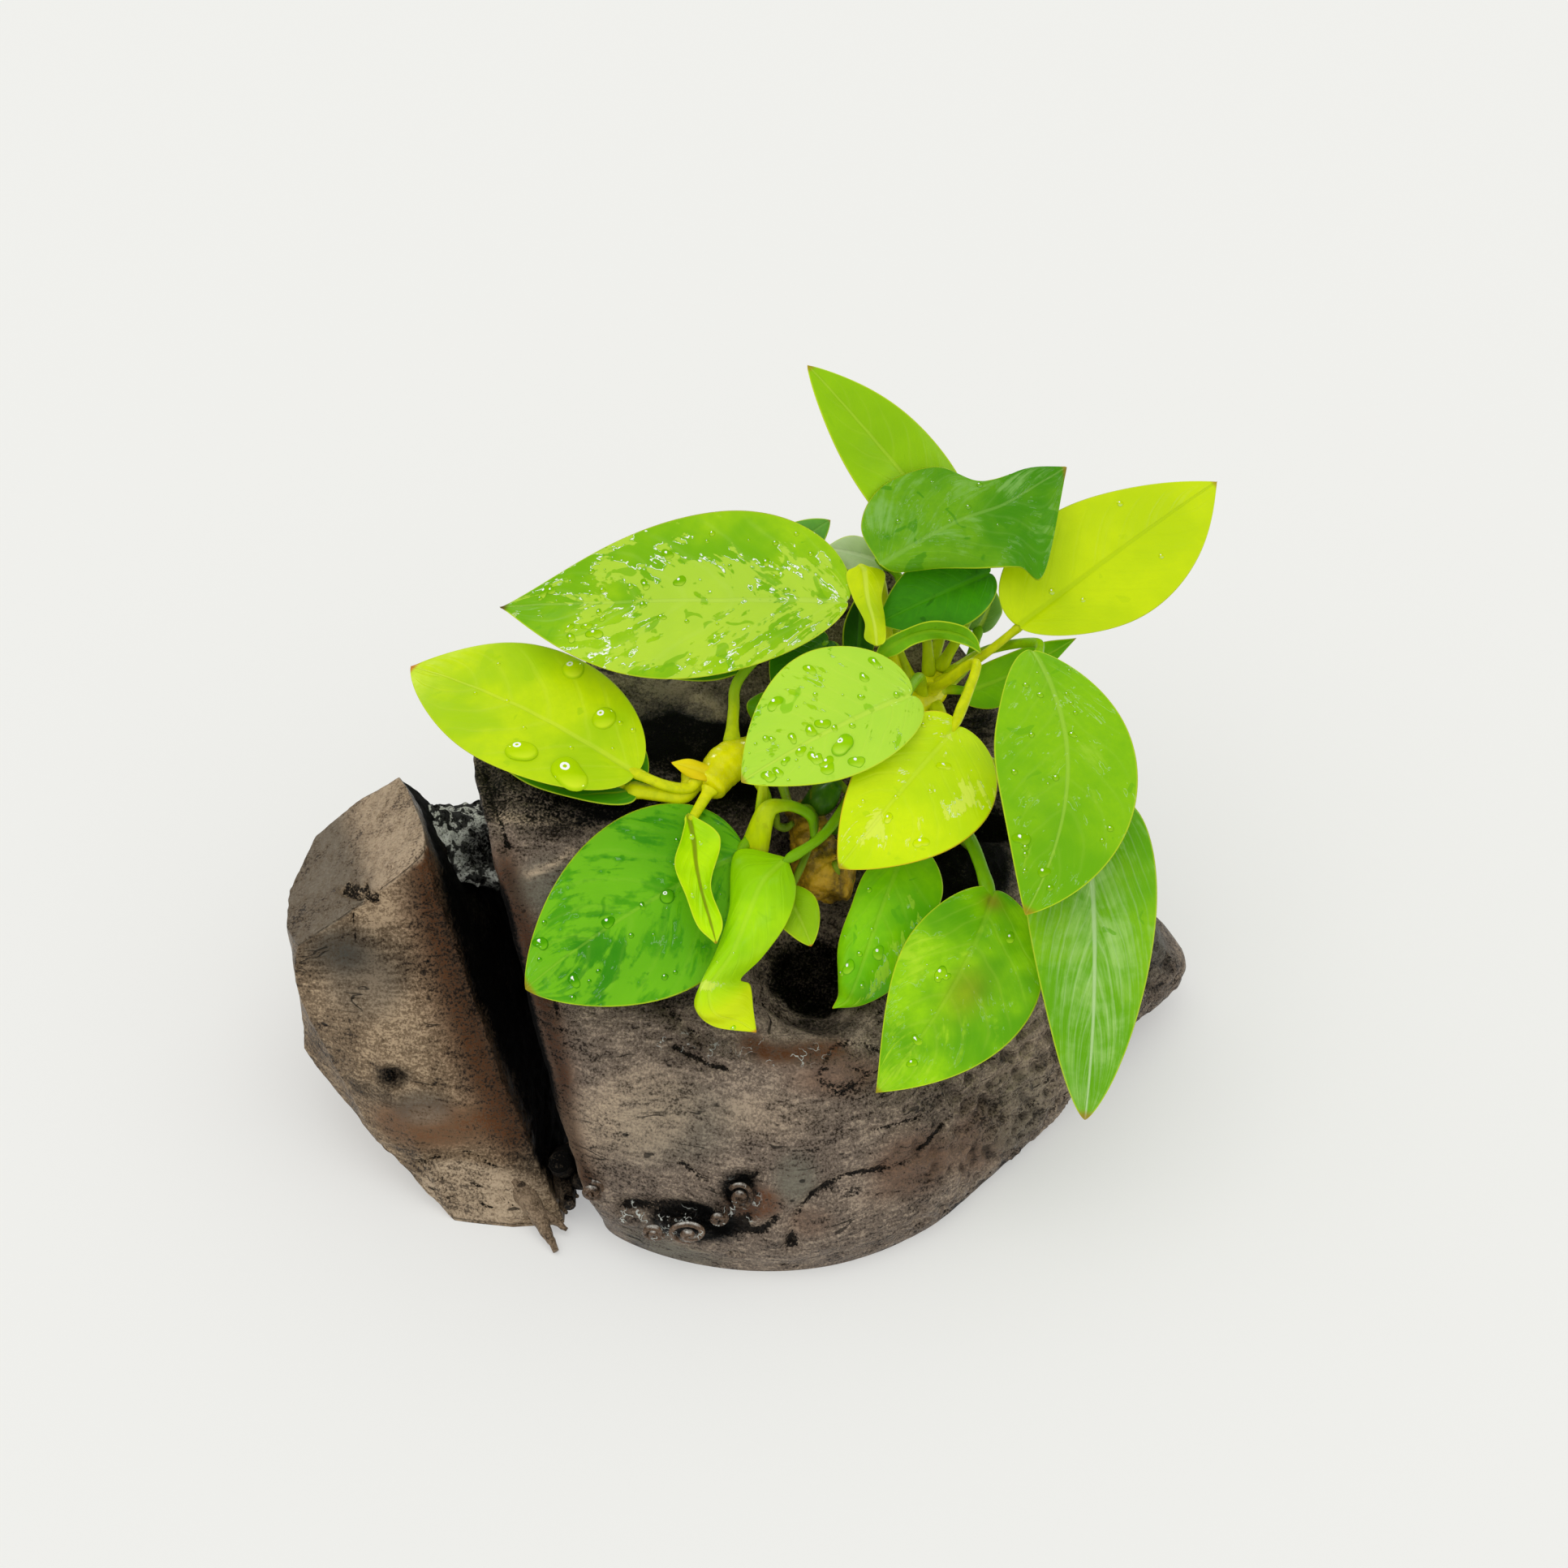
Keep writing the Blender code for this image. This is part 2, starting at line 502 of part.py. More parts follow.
def mesh_from(name, vertices, faces):
    """Make a mesh with triangles that point outwards."""
    mesh = bpy.data.meshes.new(name)
    mesh.from_pydata([tuple(v) for v in vertices], [], faces)
    shape = bmesh.new()
    shape.from_mesh(mesh)
    bmesh.ops.triangulate(shape, faces=shape.faces[:])
    bmesh.ops.recalc_face_normals(shape, faces=shape.faces[:])
    shape.to_mesh(mesh)
    shape.free()
    return mesh


def unit(vector):
    """Return the vector at length 1."""
    return vector / np.linalg.norm(vector, axis=-1, keepdims=True)


def tube_mesh(name, path, radii, sides):
    """Sweep a round section of changing radius along a path and close its ends."""
    tangents = unit(np.gradient(path, axis=0))
    side = unit(np.cross(tangents[0], (0.3, 0.2, 1.0)))
    rings = []
    for point, tangent, radius in zip(path, tangents, radii):
        side = unit(side - tangent * np.dot(side, tangent))
        other = np.cross(tangent, side)
        turns = np.arange(sides) * 2 * math.pi / sides
        rings.append(point + radius * (np.cos(turns)[:, None] * side + np.sin(turns)[:, None] * other))
    return closed_mesh(name, np.array(rings), path[0], path[-1])


def leaf_midrib(leaf, samples):
    """Return the midrib's points with the blade's normal and sideways direction at each."""
    base, tip = np.array(leaf.base, float), np.array(leaf.tip, float)
    run = tip - base
    along = unit(run)
    face = np.array(leaf.face, float)
    normal = unit(face - along * np.dot(face, along))
    right = np.cross(along, normal)
    t = (1 - np.cos(np.linspace(0.0, math.pi, samples))) / 2
    hump = (4 * t * (1 - t))[:, None]
    points = base + t[:, None] * run + normal * leaf.bow * hump + right * leaf.sweep * hump
    tangents = unit(np.gradient(points, t, axis=0))
    normals = unit(normal - tangents * (tangents @ normal)[:, None])
    return t, points, tangents, normals, np.cross(tangents, normals)


def leaf_sheet(leaf, rows, columns):
    """Return the blade's middle surface as points[row, column] and its normals.

    The half width follows t^a (1 - t)^b, which is round at the base and pointed at the tip.
    """
    t, points, tangents, normals, rights = leaf_midrib(leaf, rows)
    across = np.linspace(-1.0, 1.0, columns)
    belly = leaf.belly + leaf.slant * np.sign(across)[None]
    base_power = leaf.point * belly / (1 - belly)
    length = t[:, None]
    swell = (length / belly) ** base_power * ((1 - length) / (1 - belly)) ** leaf.point
    half = leaf.width / 2 * swell * (1 + leaf.skew * np.sign(across))[None]
    fold = math.radians(leaf.fold)
    rise = half * np.sqrt(across ** 2 + 0.01)[None] * math.sin(fold) - LEAF_CURL * (across ** 4)[None] * swell
    ripple = leaf.wave * np.sin(2 * math.pi * LEAF_WAVES * length + 1.2 * np.sign(across)[None])
    rise = rise + ripple * (across ** 2)[None] * np.sqrt(swell)
    back = leaf.lobe * np.abs(across)[None] * np.clip(1 - length / 0.3, 0, 1) ** 2 * np.sqrt(swell)
    sheet = (points[:, None] + rights[:, None] * (half * across * math.cos(fold))[..., None]
             + normals[:, None] * rise[..., None] - tangents[:, None] * back[..., None])
    return sheet, np.repeat(normals[:, None], columns, axis=1)


def draped_sheet(leaf, rows, columns):
    """Return a draped blade's middle surface and normals: each rib is a parabola through its three points."""
    ribs = np.array(leaf.ribs, float)
    left, middle, right = (curve_through(ribs[:, k], rows) for k in range(3))
    across = np.linspace(-1.0, 1.0, columns)[None, :, None]
    sheet = (left[:, None] * across * (across - 1) / 2 + middle[:, None] * (1 - across ** 2)
             + right[:, None] * across * (across + 1) / 2)
    along = np.gradient(sheet, axis=0)
    sideways = np.gradient(sheet, axis=1)
    normals = np.cross(sideways, along)
    normals[0] = normals[1]
    normals[-1] = normals[-2]
    upwards = 1.0 if normals[..., 2].mean() > 0 else -1.0
    return sheet, unit(normals) * upwards


def sheet_of(leaf, rows, columns):
    """Return the middle surface and normals of either kind of leaf."""
    shape = draped_sheet if isinstance(leaf, DrapedLeaf) else leaf_sheet
    return shape(leaf, rows, columns)


def leaf_mesh(name, leaf):
    """Make a blade: thickest along the midrib and thinned to its margin."""
    sheet, normals = sheet_of(leaf, LEAF_ROWS, LEAF_COLUMNS)
    if np.linalg.norm(sheet[-1, 0] - sheet[0, 0]) < SMALL_LEAF_LENGTH:
        sheet, normals = sheet_of(leaf, SMALL_LEAF_ROWS, LEAF_COLUMNS)
    across = np.linspace(-1.0, 1.0, LEAF_COLUMNS)
    half = LEAF_THICKNESS / 2 * (1 - 0.6 * np.abs(across))[None, 1:-1, None]
    upper = sheet[1:-1, 1:-1] + normals[1:-1, 1:-1] * half
    lower = sheet[1:-1, 1:-1] - normals[1:-1, 1:-1] * half
    rings = np.concatenate([sheet[1:-1, :1], upper, sheet[1:-1, -1:], lower[:, ::-1]], axis=1)
    return closed_mesh(name, rings, sheet[0, 0], sheet[-1, 0])


def rhizome_curve(samples):
    """Return points and radii along the rhizome."""
    radii = curve_through(np.array(RHIZOME_RADII)[:, None], samples)[:, 0]
    return curve_through(RHIZOME_PATH, samples), radii


def stalk_path(leaf, samples):
    """Return the stalk's curve from the rhizome's skin to just under the blade's base.

    A fused leaf's stalk runs into the blade instead.
    """
    path, radii = rhizome_curve(STATIONS + 1)
    index = int(round(leaf.station * STATIONS))
    origin = path[index]
    sheet, normals = sheet_of(leaf, 15, 3)
    base = sheet[0, 1]
    along = unit(sheet[2, 1] - base)
    under = normals[1, 1]
    target = np.array(leaf.via[0] if leaf.via else base, float)
    stem = unit(path[min(index + 1, STATIONS)] - path[max(index - 1, 0)])
    outward = unit(target - origin - stem * np.dot(target - origin, stem))
    start = origin + outward * (radii[index] + GAP + 0.4 * leaf.stalk)
    drop = leaf.stalk * STALK_TAPER + GAP
    end = base + along * 2 if leaf.fused else base - along * GAP - under * drop
    return curve_through([start, *leaf.via, end], samples)


def stalk_mesh(name, leaf):
    """Make a stalk that thins a little towards the blade."""
    path = stalk_path(leaf, STALK_SAMPLES)
    radii = leaf.stalk * np.linspace(STALK_SWELL, STALK_TAPER, len(path))
    return tube_mesh(name, path, radii, STALK_SIDES)


def rhizome_mesh(name, path, radii, rings, samples):
    """Make a knobbly creeping stem whose old leaf scars show as rings, with rounded ends."""
    path = curve_through(path, samples)
    radii = curve_through(np.array(radii)[:, None], samples)[:, 0]
    share = np.linspace(0.0, 1.0, samples)
    radii = radii * (1 + RING_DEPTH * np.cos(2 * math.pi * rings * share))
    radii[0] *= 0.5
    radii[-1] *= 0.5
    return tube_mesh(name, path, radii, RHIZOME_SIDES)


def material(name, colour, roughness):
    """Make a plain Principled material."""
    made = bpy.data.materials.new(name)
    made.use_nodes = True
    shader = made.node_tree.nodes["Principled BSDF"]
    shader.inputs["Base Color"].default_value = (*colour, 1.0)
    shader.inputs["Roughness"].default_value = roughness
    shader.inputs["Metallic"].default_value = 0.0
    return made


def place(name, mesh, finish):
    """Put a mesh into the scene as a named object with its finish."""
    piece = bpy.data.objects.new(name, mesh)
    bpy.context.scene.collection.objects.link(piece)
    piece.data.materials.append(finish)
    return piece


def unite(piece, extra):
    """Join an overlapping piece to another by a Boolean union and drop the spare object."""
    joint = piece.modifiers.new("join", "BOOLEAN")
    joint.operation = "UNION"
    joint.object = extra
    extra.hide_render = True
    extra.display_type = "WIRE"


def build():
    """Build every piece of the plant and its wood."""
    for old in list(bpy.data.objects):
        bpy.data.objects.remove(old)
    finishes = {
        "driftwood": material("driftwood", (0.09, 0.06, 0.045), 0.45),
        "leaf_green": material("leaf_green", (0.16, 0.42, 0.01), 0.4),
        "leaf_dark": material("leaf_dark", (0.06, 0.25, 0.01), 0.35),
        "leaf_yellow": material("leaf_yellow", (0.45, 0.62, 0.01), 0.4),
        "stalk": material("stalk", (0.32, 0.45, 0.03), 0.45),
        "rhizome": material("rhizome", (0.4, 0.42, 0.04), 0.5),
        "old_rhizome": material("old_rhizome", (0.22, 0.13, 0.01), 0.6),
    }
    place("driftwood_trunk", closed_mesh("driftwood_trunk", *trunk_rings()), finishes["driftwood"])
    slab = closed_mesh("driftwood_left_fork", *fork_rings())
    fork = place("driftwood_left_fork", slab, finishes["driftwood"])
    for number, (start, end, thick, thin) in enumerate(SPLINTERS):
        path = np.linspace(start, end, 4)
        splinter = tube_mesh("splinter", path, np.linspace(thick, thin, len(path)), SPLINTER_SIDES)
        unite(fork, place(f"splinter_{number}", splinter, finishes["driftwood"]))
    creeping = rhizome_mesh("rhizome", RHIZOME_PATH, RHIZOME_RADII, RING_COUNT, RHIZOME_SAMPLES)
    place("rhizome", creeping, finishes["rhizome"])
    old_end = rhizome_mesh("rhizome_old_end", OLD_RHIZOME_PATH, OLD_RHIZOME_RADII, OLD_RING_COUNT,
                           OLD_RHIZOME_SAMPLES)
    place("rhizome_old_end", old_end, finishes["old_rhizome"])
    place("scale_leaf", leaf_mesh("scale_leaf", SCALE_LEAF), finishes["leaf_yellow"])
    for name, points in ROOTS.items():
        path = curve_through(points, ROOT_SAMPLES)
        place(name, tube_mesh(name, path, np.full(len(path), ROOT_RADIUS), ROOT_SIDES), finishes["stalk"])
    for name, leaf in (LEAVES | DRAPED_LEAVES).items():
        blade = place(name, leaf_mesh(name, leaf), finishes[leaf.colour])
        stalk_name = name.replace("leaf_", "stalk_")
        stalk = place(stalk_name, stalk_mesh(stalk_name, leaf), finishes["stalk"])
        if leaf.fused:
            unite(blade, stalk)


build()
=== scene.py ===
"""Looks of the anubias on driftwood: a wet, glossy plant on a dark rounded chunk of wood.

Every new piece is a closed surface worked out with numpy in millimetres, in the frame of the CAD: +X to the
right, +Y to the back, +Z up, the origin on the flat underside of the trunk. Blades, stalks, rhizome and wood
follow the named sizes of their solids, with finer detail laid over them.
"""

import logging
import math
from abc import ABC, abstractmethod
from dataclasses import dataclass, field
from enum import Enum

import bpy
import numpy as np
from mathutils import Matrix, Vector

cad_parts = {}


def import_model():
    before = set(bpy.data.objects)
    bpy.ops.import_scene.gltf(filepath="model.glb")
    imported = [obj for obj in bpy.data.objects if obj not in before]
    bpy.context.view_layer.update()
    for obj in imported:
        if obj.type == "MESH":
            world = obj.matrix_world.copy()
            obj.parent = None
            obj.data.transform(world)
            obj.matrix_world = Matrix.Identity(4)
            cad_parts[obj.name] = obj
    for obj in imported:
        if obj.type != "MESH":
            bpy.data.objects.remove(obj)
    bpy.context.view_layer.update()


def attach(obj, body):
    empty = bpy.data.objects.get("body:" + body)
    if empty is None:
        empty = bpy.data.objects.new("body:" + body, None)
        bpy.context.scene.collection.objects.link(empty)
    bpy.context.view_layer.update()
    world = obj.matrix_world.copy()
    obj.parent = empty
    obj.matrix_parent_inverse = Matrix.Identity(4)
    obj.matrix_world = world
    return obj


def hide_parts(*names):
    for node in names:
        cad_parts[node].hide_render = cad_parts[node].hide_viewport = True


MM = 0.001
BODY = "root"
Array = np.ndarray
Point = tuple[float, float, float]
Colour = tuple[float, float, float, float]
Mesh = bpy.types.Mesh
Object = bpy.types.Object
Material = bpy.types.Material
Tree = bpy.types.NodeTree
Node = bpy.types.Node
Socket = bpy.types.NodeSocket
SRGB_KNEE, SRGB_SLOPE, SRGB_SHIFT, SRGB_POWER = 0.04045, 12.92, 0.055, 2.4

log = logging.getLogger("anubias")


class Slot(Enum):
    """The record's material slots."""

    WOOD = "driftwood"
    GREEN = "leaf_green"
    DARK = "leaf_dark"
    YELLOW = "leaf_yellow"
    STALK = "stalk"
    RHIZOME = "rhizome"
    OLD_RHIZOME = "old_rhizome"


def linear(code: str) -> Colour:
    """Turn a written sRGB colour such as #80c010 into linear RGBA.

    Args:
        code: the colour as six hexadecimal digits after a hash.

    Returns:
        Red, green, blue and alpha, from 0 to 1.
    """
    parts = [int(code[at:at + 2], 16) / 255 for at in (1, 3, 5)]
    red, green, blue = (part / SRGB_SLOPE if part <= SRGB_KNEE
                        else ((part + SRGB_SHIFT) / (1 + SRGB_SHIFT)) ** SRGB_POWER for part in parts)
    return red, green, blue, 1.0


def unit(vectors: Array) -> Array:
    """Return the vectors at length 1."""
    return vectors / np.maximum(np.linalg.norm(vectors, axis=-1, keepdims=True), 1e-9)


def smooth_step(low: float, high: float, value: Array) -> Array:
    """Rise smoothly from 0 at low to 1 at high, along 3t^2 - 2t^3."""
    t = np.clip((value - low) / (high - low), 0.0, 1.0)
    return t * t * (3 - 2 * t)


def between(before: Array, start: Array, end: Array, after: Array, t: Array) -> Array:
    """Return the Catmull-Rom curve's points at t on the way from start to end."""
    return 0.5 * (2 * start + (end - before) * t + (2 * before - 5 * start + 4 * end - after) * t ** 2
                  + (3 * start - before - 3 * end + after) * t ** 3)


def curve_through(points: Array, samples: int) -> Array:
    """Follow a Catmull-Rom curve through points of any dimension, ends included.

    Args:
        points: the points, one to a row.
        samples: how many evenly spread samples to take.

    Returns:
        The samples, one to a row.
    """
    points = np.asarray(points, float)
    padded = np.concatenate([[2 * points[0] - points[1]], points, [2 * points[-1] - points[-2]]])
    place = np.linspace(0.0, 1.0, samples) * (len(points) - 1.0)
    index = np.minimum(place.astype(int), len(points) - 2)
    t = (place - index).reshape((-1,) + (1,) * (points.ndim - 1))
    return between(*(padded[index + k] for k in range(4)), t)


def round_curve(points: Array, samples: int) -> Array:
    """Follow a closed Catmull-Rom curve through the points, evenly spread.

    Args:
        points: the corners, one to a row.
        samples: how many samples to take.

    Returns:
        The samples, one to a row.
    """
    points = np.asarray(points, float)
    place = np.arange(samples) * len(points) / samples
    index = place.astype(int)
    near = (points[(index + k) % len(points)] for k in (-1, 0, 1, 2))
    return between(*near, (place - index)[:, None])


class Noise:
    """Smooth noise from hashed lattice corners, between -1 and 1."""

    PRIMES = np.array([374761393, 668265263, 2147483647], np.uint64)
    MIXER = np.uint64(1274126177)
    WORD = np.uint64(0xFFFFFFFF)

    def __init__(self, seed: int) -> None:
        """Keep the seed that sets this noise apart from others."""
        self.seed = np.uint64(seed * 7919 + 17)

    def _corner(self, cell: Array) -> Array:
        """Return the lattice value at whole-number cells."""
        mixed = (cell.astype(np.int64).astype(np.uint64) * self.PRIMES).sum(axis=-1) + self.seed
        mixed = mixed & self.WORD
        mixed = ((mixed ^ (mixed >> np.uint64(13))) * self.MIXER) & self.WORD
        return ((mixed ^ (mixed >> np.uint64(16))) & self.WORD).astype(float) / float(self.WORD)

    def smooth(self, points: Array) -> Array:
        """Blend the eight corners round each point with smooth weights.

        Args:
            points: where to read it.

        Returns:
            Values from -1 to 1.
        """
        cell = np.floor(points)
        part = points - cell
        part = part * part * (3 - 2 * part)
        total = np.zeros(points.shape[:-1])
        for corner in np.ndindex(2, 2, 2):
            offset = np.array(corner)
            weight = np.prod(np.where(offset == 1, part, 1 - part), axis=-1)
            total += weight * self._corner(cell + offset)
        return total * 2 - 1

    def layered(self, points: Array, octaves: int = 3) -> Array:
        """Add octaves, each twice as fine and half as strong."""
        return sum(self.smooth(points * 2 ** k + 31.7 * k) / 2 ** k for k in range(octaves))


@dataclass
class Shell:
    """A closed surface in millimetres: stacked closed rings, the two points that close them, and named marks.

    A mark is a value at each point of the rings, which the finishes read.
    """

    rings: Array
    start: Array
    end: Array
    marks: dict[str, Array] = field(default_factory=dict)

    def _flat(self, values: Array) -> Array:
        """List ring values with those of the two end points, which take their ring's first value."""
        flat = values.reshape(-1, *values.shape[2:])
        return np.concatenate([values[0, :1], flat, values[-1, :1]])

    def faces(self) -> list[tuple[int, ...]]:
        """List the faces: a fan at each end and quads between neighbouring rings.

        Returns:
            Each face as the numbers of its points.
        """
        rows, columns = self.rings.shape[:2]
        column = np.arange(columns)
        after = (column + 1) % columns
        first = np.column_stack([np.zeros(columns, int), 1 + after, 1 + column])
        low = 1 + np.arange(rows - 1)[:, None] * columns
        quads = np.stack([low + column, low + after, low + columns + after, low + columns + column], axis=-1)
        top = 1 + (rows - 1) * columns
        last = np.column_stack([top + column, top + after, np.full(columns, 1 + rows * columns)])
        return first.tolist() + quads.reshape(-1, 4).tolist() + last.tolist()

    def mesh(self, name: str) -> Mesh:
        """Build the mesh with outward faces, smooth shading and marks.

        Args:
            name: the mesh's name.

        Returns:
            The new mesh, in metres.
        """
        points = np.concatenate([self.start[None], self.rings.reshape(-1, 3), self.end[None]])
        faces = self.faces()
        if self._volume() < 0:
            faces = [face[::-1] for face in faces]
        mesh = bpy.data.meshes.new(name)
        mesh.from_pydata((points * MM).tolist(), [], faces)
        mesh.polygons.foreach_set("use_smooth", np.ones(len(mesh.polygons), bool))
        for mark, values in self.marks.items():
            layer = mesh.attributes.new(mark, "FLOAT", "POINT")
            layer.data.foreach_set("value", self._flat(values).astype(np.float32))
        mesh.update()
        return mesh

    def _volume(self) -> float:
        """Return six times the signed volume that the quads enclose about the mean point.

        Returns:
            The volume, negative where the faces point inwards.
        """
        rings = self.rings - self.rings.reshape(-1, 3).mean(axis=0)
        after = np.roll(rings, -1, axis=1)
        a, b, c, d = rings[:-1], after[:-1], after[1:], rings[1:]
        volume = (a * np.cross(b, c)).sum() + (a * np.cross(c, d)).sum()
        for row, sign in ((0, -1.0), (-1, 1.0)):
            middle = rings[row].mean(axis=0)
            volume += sign * (middle * np.cross(rings[row], after[row])).sum()
        return float(volume)


def ring_normals(rings: Array) -> Array:
    """Return unit normals of stacked closed rings, pointing away from their middle line.

    Args:
        rings: the points, as rings[row, column].

    Returns:
        A unit vector at each point.
    """
    around = np.roll(rings, -1, axis=1) - np.roll(rings, 1, axis=1)
    along = np.gradient(rings, axis=0)
    normals = unit(np.cross(around, along))
    outward = rings - rings.mean(axis=(0, 1))
    return normals if (normals * outward).sum() > 0 else -normals


def tube(path: Array, radii: Array, sides: int) -> Shell:
    """Carry a round section of changing radius along a path.

    The section is turned as little as possible from one sample to the next.

    Args:
        path: points along its middle.
        radii: a radius to a point of the path, or one to a point of the section as well.
        sides: how many points the section has.

    Returns:
        The closed tube. Its mark along runs from 0 to 1.
    """
    tangents = unit(np.gradient(path, axis=0))
    side = unit(np.cross(tangents[0], (0.3, 0.2, 1.0)))
    sides_along = []
    for tangent in tangents:
        side = unit(side - tangent * np.dot(side, tangent))
        sides_along.append(side)
    side_axes = np.array(sides_along)
    other_axes = np.cross(tangents, side_axes)
    turns = (np.arange(sides) * 2 * math.pi / sides)[None, :, None]
    section = np.cos(turns) * side_axes[:, None] + np.sin(turns) * other_axes[:, None]
    rings = path[:, None] + radii.reshape(len(path), -1, 1) * section
    share = np.linspace(0.0, 1.0, len(path))
    return Shell(rings, path[0], path[-1], {"along": np.repeat(share[:, None], sides, axis=1)})


def into_scene(name: str, data: bpy.types.ID) -> Object:
    """Put a mesh, a light or a camera into the scene, where it is."""
    made = bpy.data.objects.new(name, data)
    bpy.context.scene.collection.objects.link(made)
    return made


def place(name: str, mesh: Mesh, finish: Material, slot: Slot, nodes: tuple[str, ...] = ()) -> Object:
    """Put a finished mesh into the scene as a piece that rides on the body.

    Args:
        name: the piece's name.
        mesh: its mesh, already in place.
        finish: its material.
        slot: the record's slot that the finish belongs to; not used.
        nodes: the CAD nodes that the piece stands for.

    Returns:
        The new object.
    """
    mesh.materials.append(finish)
    piece = into_scene(name, mesh)
    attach(piece, BODY)
    if nodes:
        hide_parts(*nodes)
    log.info("%s: %d faces", name, len(mesh.polygons))
    return piece


class Graph:
    """A node tree with short calls to add and join nodes."""

    def __init__(self, tree: Tree) -> None:
        """Keep the tree that new nodes go into."""
        self.tree = tree

    def add(self, kind: str, inputs: dict | None = None, **settings: object) -> Node:
        """Add a node.

        Args:
            kind: the node's type name.
            inputs: values or sockets for its inputs, by name or number.
            settings: values for its own properties.

        Returns:
            The new node.
        """
        made = self.tree.nodes.new(kind)
        for name, value in settings.items():
            setattr(made, name, value)
        for name, value in (inputs or {}).items():
            self.feed(made.inputs[name], value)
        return made

    def feed(self, socket: Socket, value: object) -> None:
        """Link a socket to an input, or give the input a plain value."""
        if isinstance(value, Socket):
            self.tree.links.new(value, socket)
        else:
            socket.default_value = value

    def math(self, operation: str, a: object, b: object = 0.0) -> Socket:
        """Return the result of a Math node on a and b."""
        return self.add("ShaderNodeMath", {0: a, 1: b}, operation=operation).outputs[0]

    def times(self, a: object, b: object) -> Socket:
        """Return a times b."""
        return self.math("MULTIPLY", a, b)

    def less(self, a: object, b: object) -> Socket:
        """Return a less b."""
        return self.math("SUBTRACT", a, b)

    def size(self, a: object) -> Socket:
        """Return a without its sign."""
        return self.math("ABSOLUTE", a)

    def dress(self, shader: Node, colour: object, rough: object, height: object, relief: float,
              strength: float, specular: float = 0.5, depth: tuple = ()) -> None:
        """Give a shader its colour, roughness and relief, and the light that enters the surface.

        Args:
            shader: the Principled shader.
            colour: its colour.
            rough: its roughness.
            height: the height that bends its normal.
            relief: that height in metres.
            strength: how strongly it bends the normal.
            specular: the strength of its plain gloss.
            depth: share, radius and scale of the light that enters, if any does.
        """
        self.feed(shader.inputs["Base Color"], colour)
        self.feed(shader.inputs["Roughness"], rough)
        shader.inputs["Specular IOR Level"].default_value = specular
        for name, value in zip(("Weight", "Radius", "Scale"), depth):
            shader.inputs[f"Subsurface {name}"].default_value = value
        bump = self.add("ShaderNodeBump", {"Height": height, "Distance": relief, "Strength": strength})
        self.feed(shader.inputs["Normal"], bump.outputs[0])

    def scaled(self, value: object, low: object, high: object, start: float = 0.0, end: float = 1.0,
               way: str = "LINEAR") -> Socket:
        """Return value carried from low..high to start..end, and held at the ends."""
        made = self.add("ShaderNodeMapRange", {"Value": value, "From Min": low, "From Max": high,
                                               "To Min": start, "To Max": end}, interpolation_type=way)
        return made.outputs["Result"]

    def step(self, value: object, low: object, high: object, start: float = 0.0, end: float = 1.0) -> Socket:
        """Return a smooth step that goes from start at low to end at high."""
        return self.scaled(value, low, high, start, end, "SMOOTHSTEP")

    def mix(self, share: object, a: object, b: object) -> Socket:
        """Return colour a blended towards colour b by share."""
        return self.add("ShaderNodeMix", {0: share, 6: a, 7: b}, data_type="RGBA").outputs[2]

    def coats(self, ground: object, layers: tuple) -> object:
        """Lay coats of colour over a ground, each a share and a written colour.

        Args:
            ground: the lowest colour, written or a socket.
            layers: the coats, lowest first.

        Returns:
            The colour that they make together.
        """
        colour = linear(ground) if isinstance(ground, str) else ground
        for share, shade in layers:
            colour = self.mix(share, colour, linear(shade))
        return colour

    def blend(self, share: object, a: object, b: object) -> Socket:
        """Return value a blended towards value b by share."""
        return self.add("ShaderNodeMix", {0: share, 2: a, 3: b}, data_type="FLOAT").outputs[0]

    def noise(self, vector: object, scale: object, detail: float = 3.0, rough: float = 0.55,
              warp: float = 0.0) -> Socket:
        """Return cloudy noise from 0 to 1."""
        return self.add("ShaderNodeTexNoise", {"Vector": vector, "Scale": scale, "Detail": detail,
                                               "Roughness": rough, "Distortion": warp}).outputs[0]

    def place(self, stretch: Point = (1.0, 1.0, 1.0), turn: Point = (0.0, 0.0, 0.0)) -> Socket:
        """Return the object's own coordinates, stretched and turned (degrees)."""
        own = self.add("ShaderNodeTexCoord").outputs["Object"]
        turned = [math.radians(angle) for angle in turn]
        return self.add("ShaderNodeMapping", {"Vector": own, "Rotation": turned, "Scale": stretch}).outputs[0]

    def mark(self, name: str) -> Socket:
        """Return a named value of the mesh's points."""
        return self.add("ShaderNodeAttribute", attribute_name=name).outputs["Fac"]

    def use(self, group: Tree, inputs: dict) -> Node:
        """Place a node group with its own values."""
        return self.add("ShaderNodeGroup", inputs, node_tree=group)

    def give(self, *results: Socket) -> Tree:
        """Feed the group's outputs, in their order, and return the group."""
        self.add("NodeGroupOutput", dict(enumerate(results)))
        return self.tree


def new_group(name: str, inputs: tuple[str, ...], outputs: tuple[str, ...]) -> tuple[Graph, list[Socket]]:
    """Start a shader node group with float sockets.

    Args:
        name: the group's name.
        inputs: names of its inputs.
        outputs: names of its outputs.

    Returns:
        The group's graph, and the sockets that give its inputs' values.
    """
    tree = bpy.data.node_groups.new(name, "ShaderNodeTree")
    for way, names in (("INPUT", inputs), ("OUTPUT", outputs)):
        for socket in names:
            tree.interface.new_socket(socket, in_out=way, socket_type="NodeSocketFloat")
    return Graph(tree), tree.nodes.new("NodeGroupInput").outputs[:len(inputs)]


def new_material(name: str) -> tuple[Material, Graph, Node]:
    """Start a material and return it with its graph and its Principled shader."""
    made = bpy.data.materials.new(name)
    made.use_nodes = True
    return made, Graph(made.node_tree), made.node_tree.nodes["Principled BSDF"]


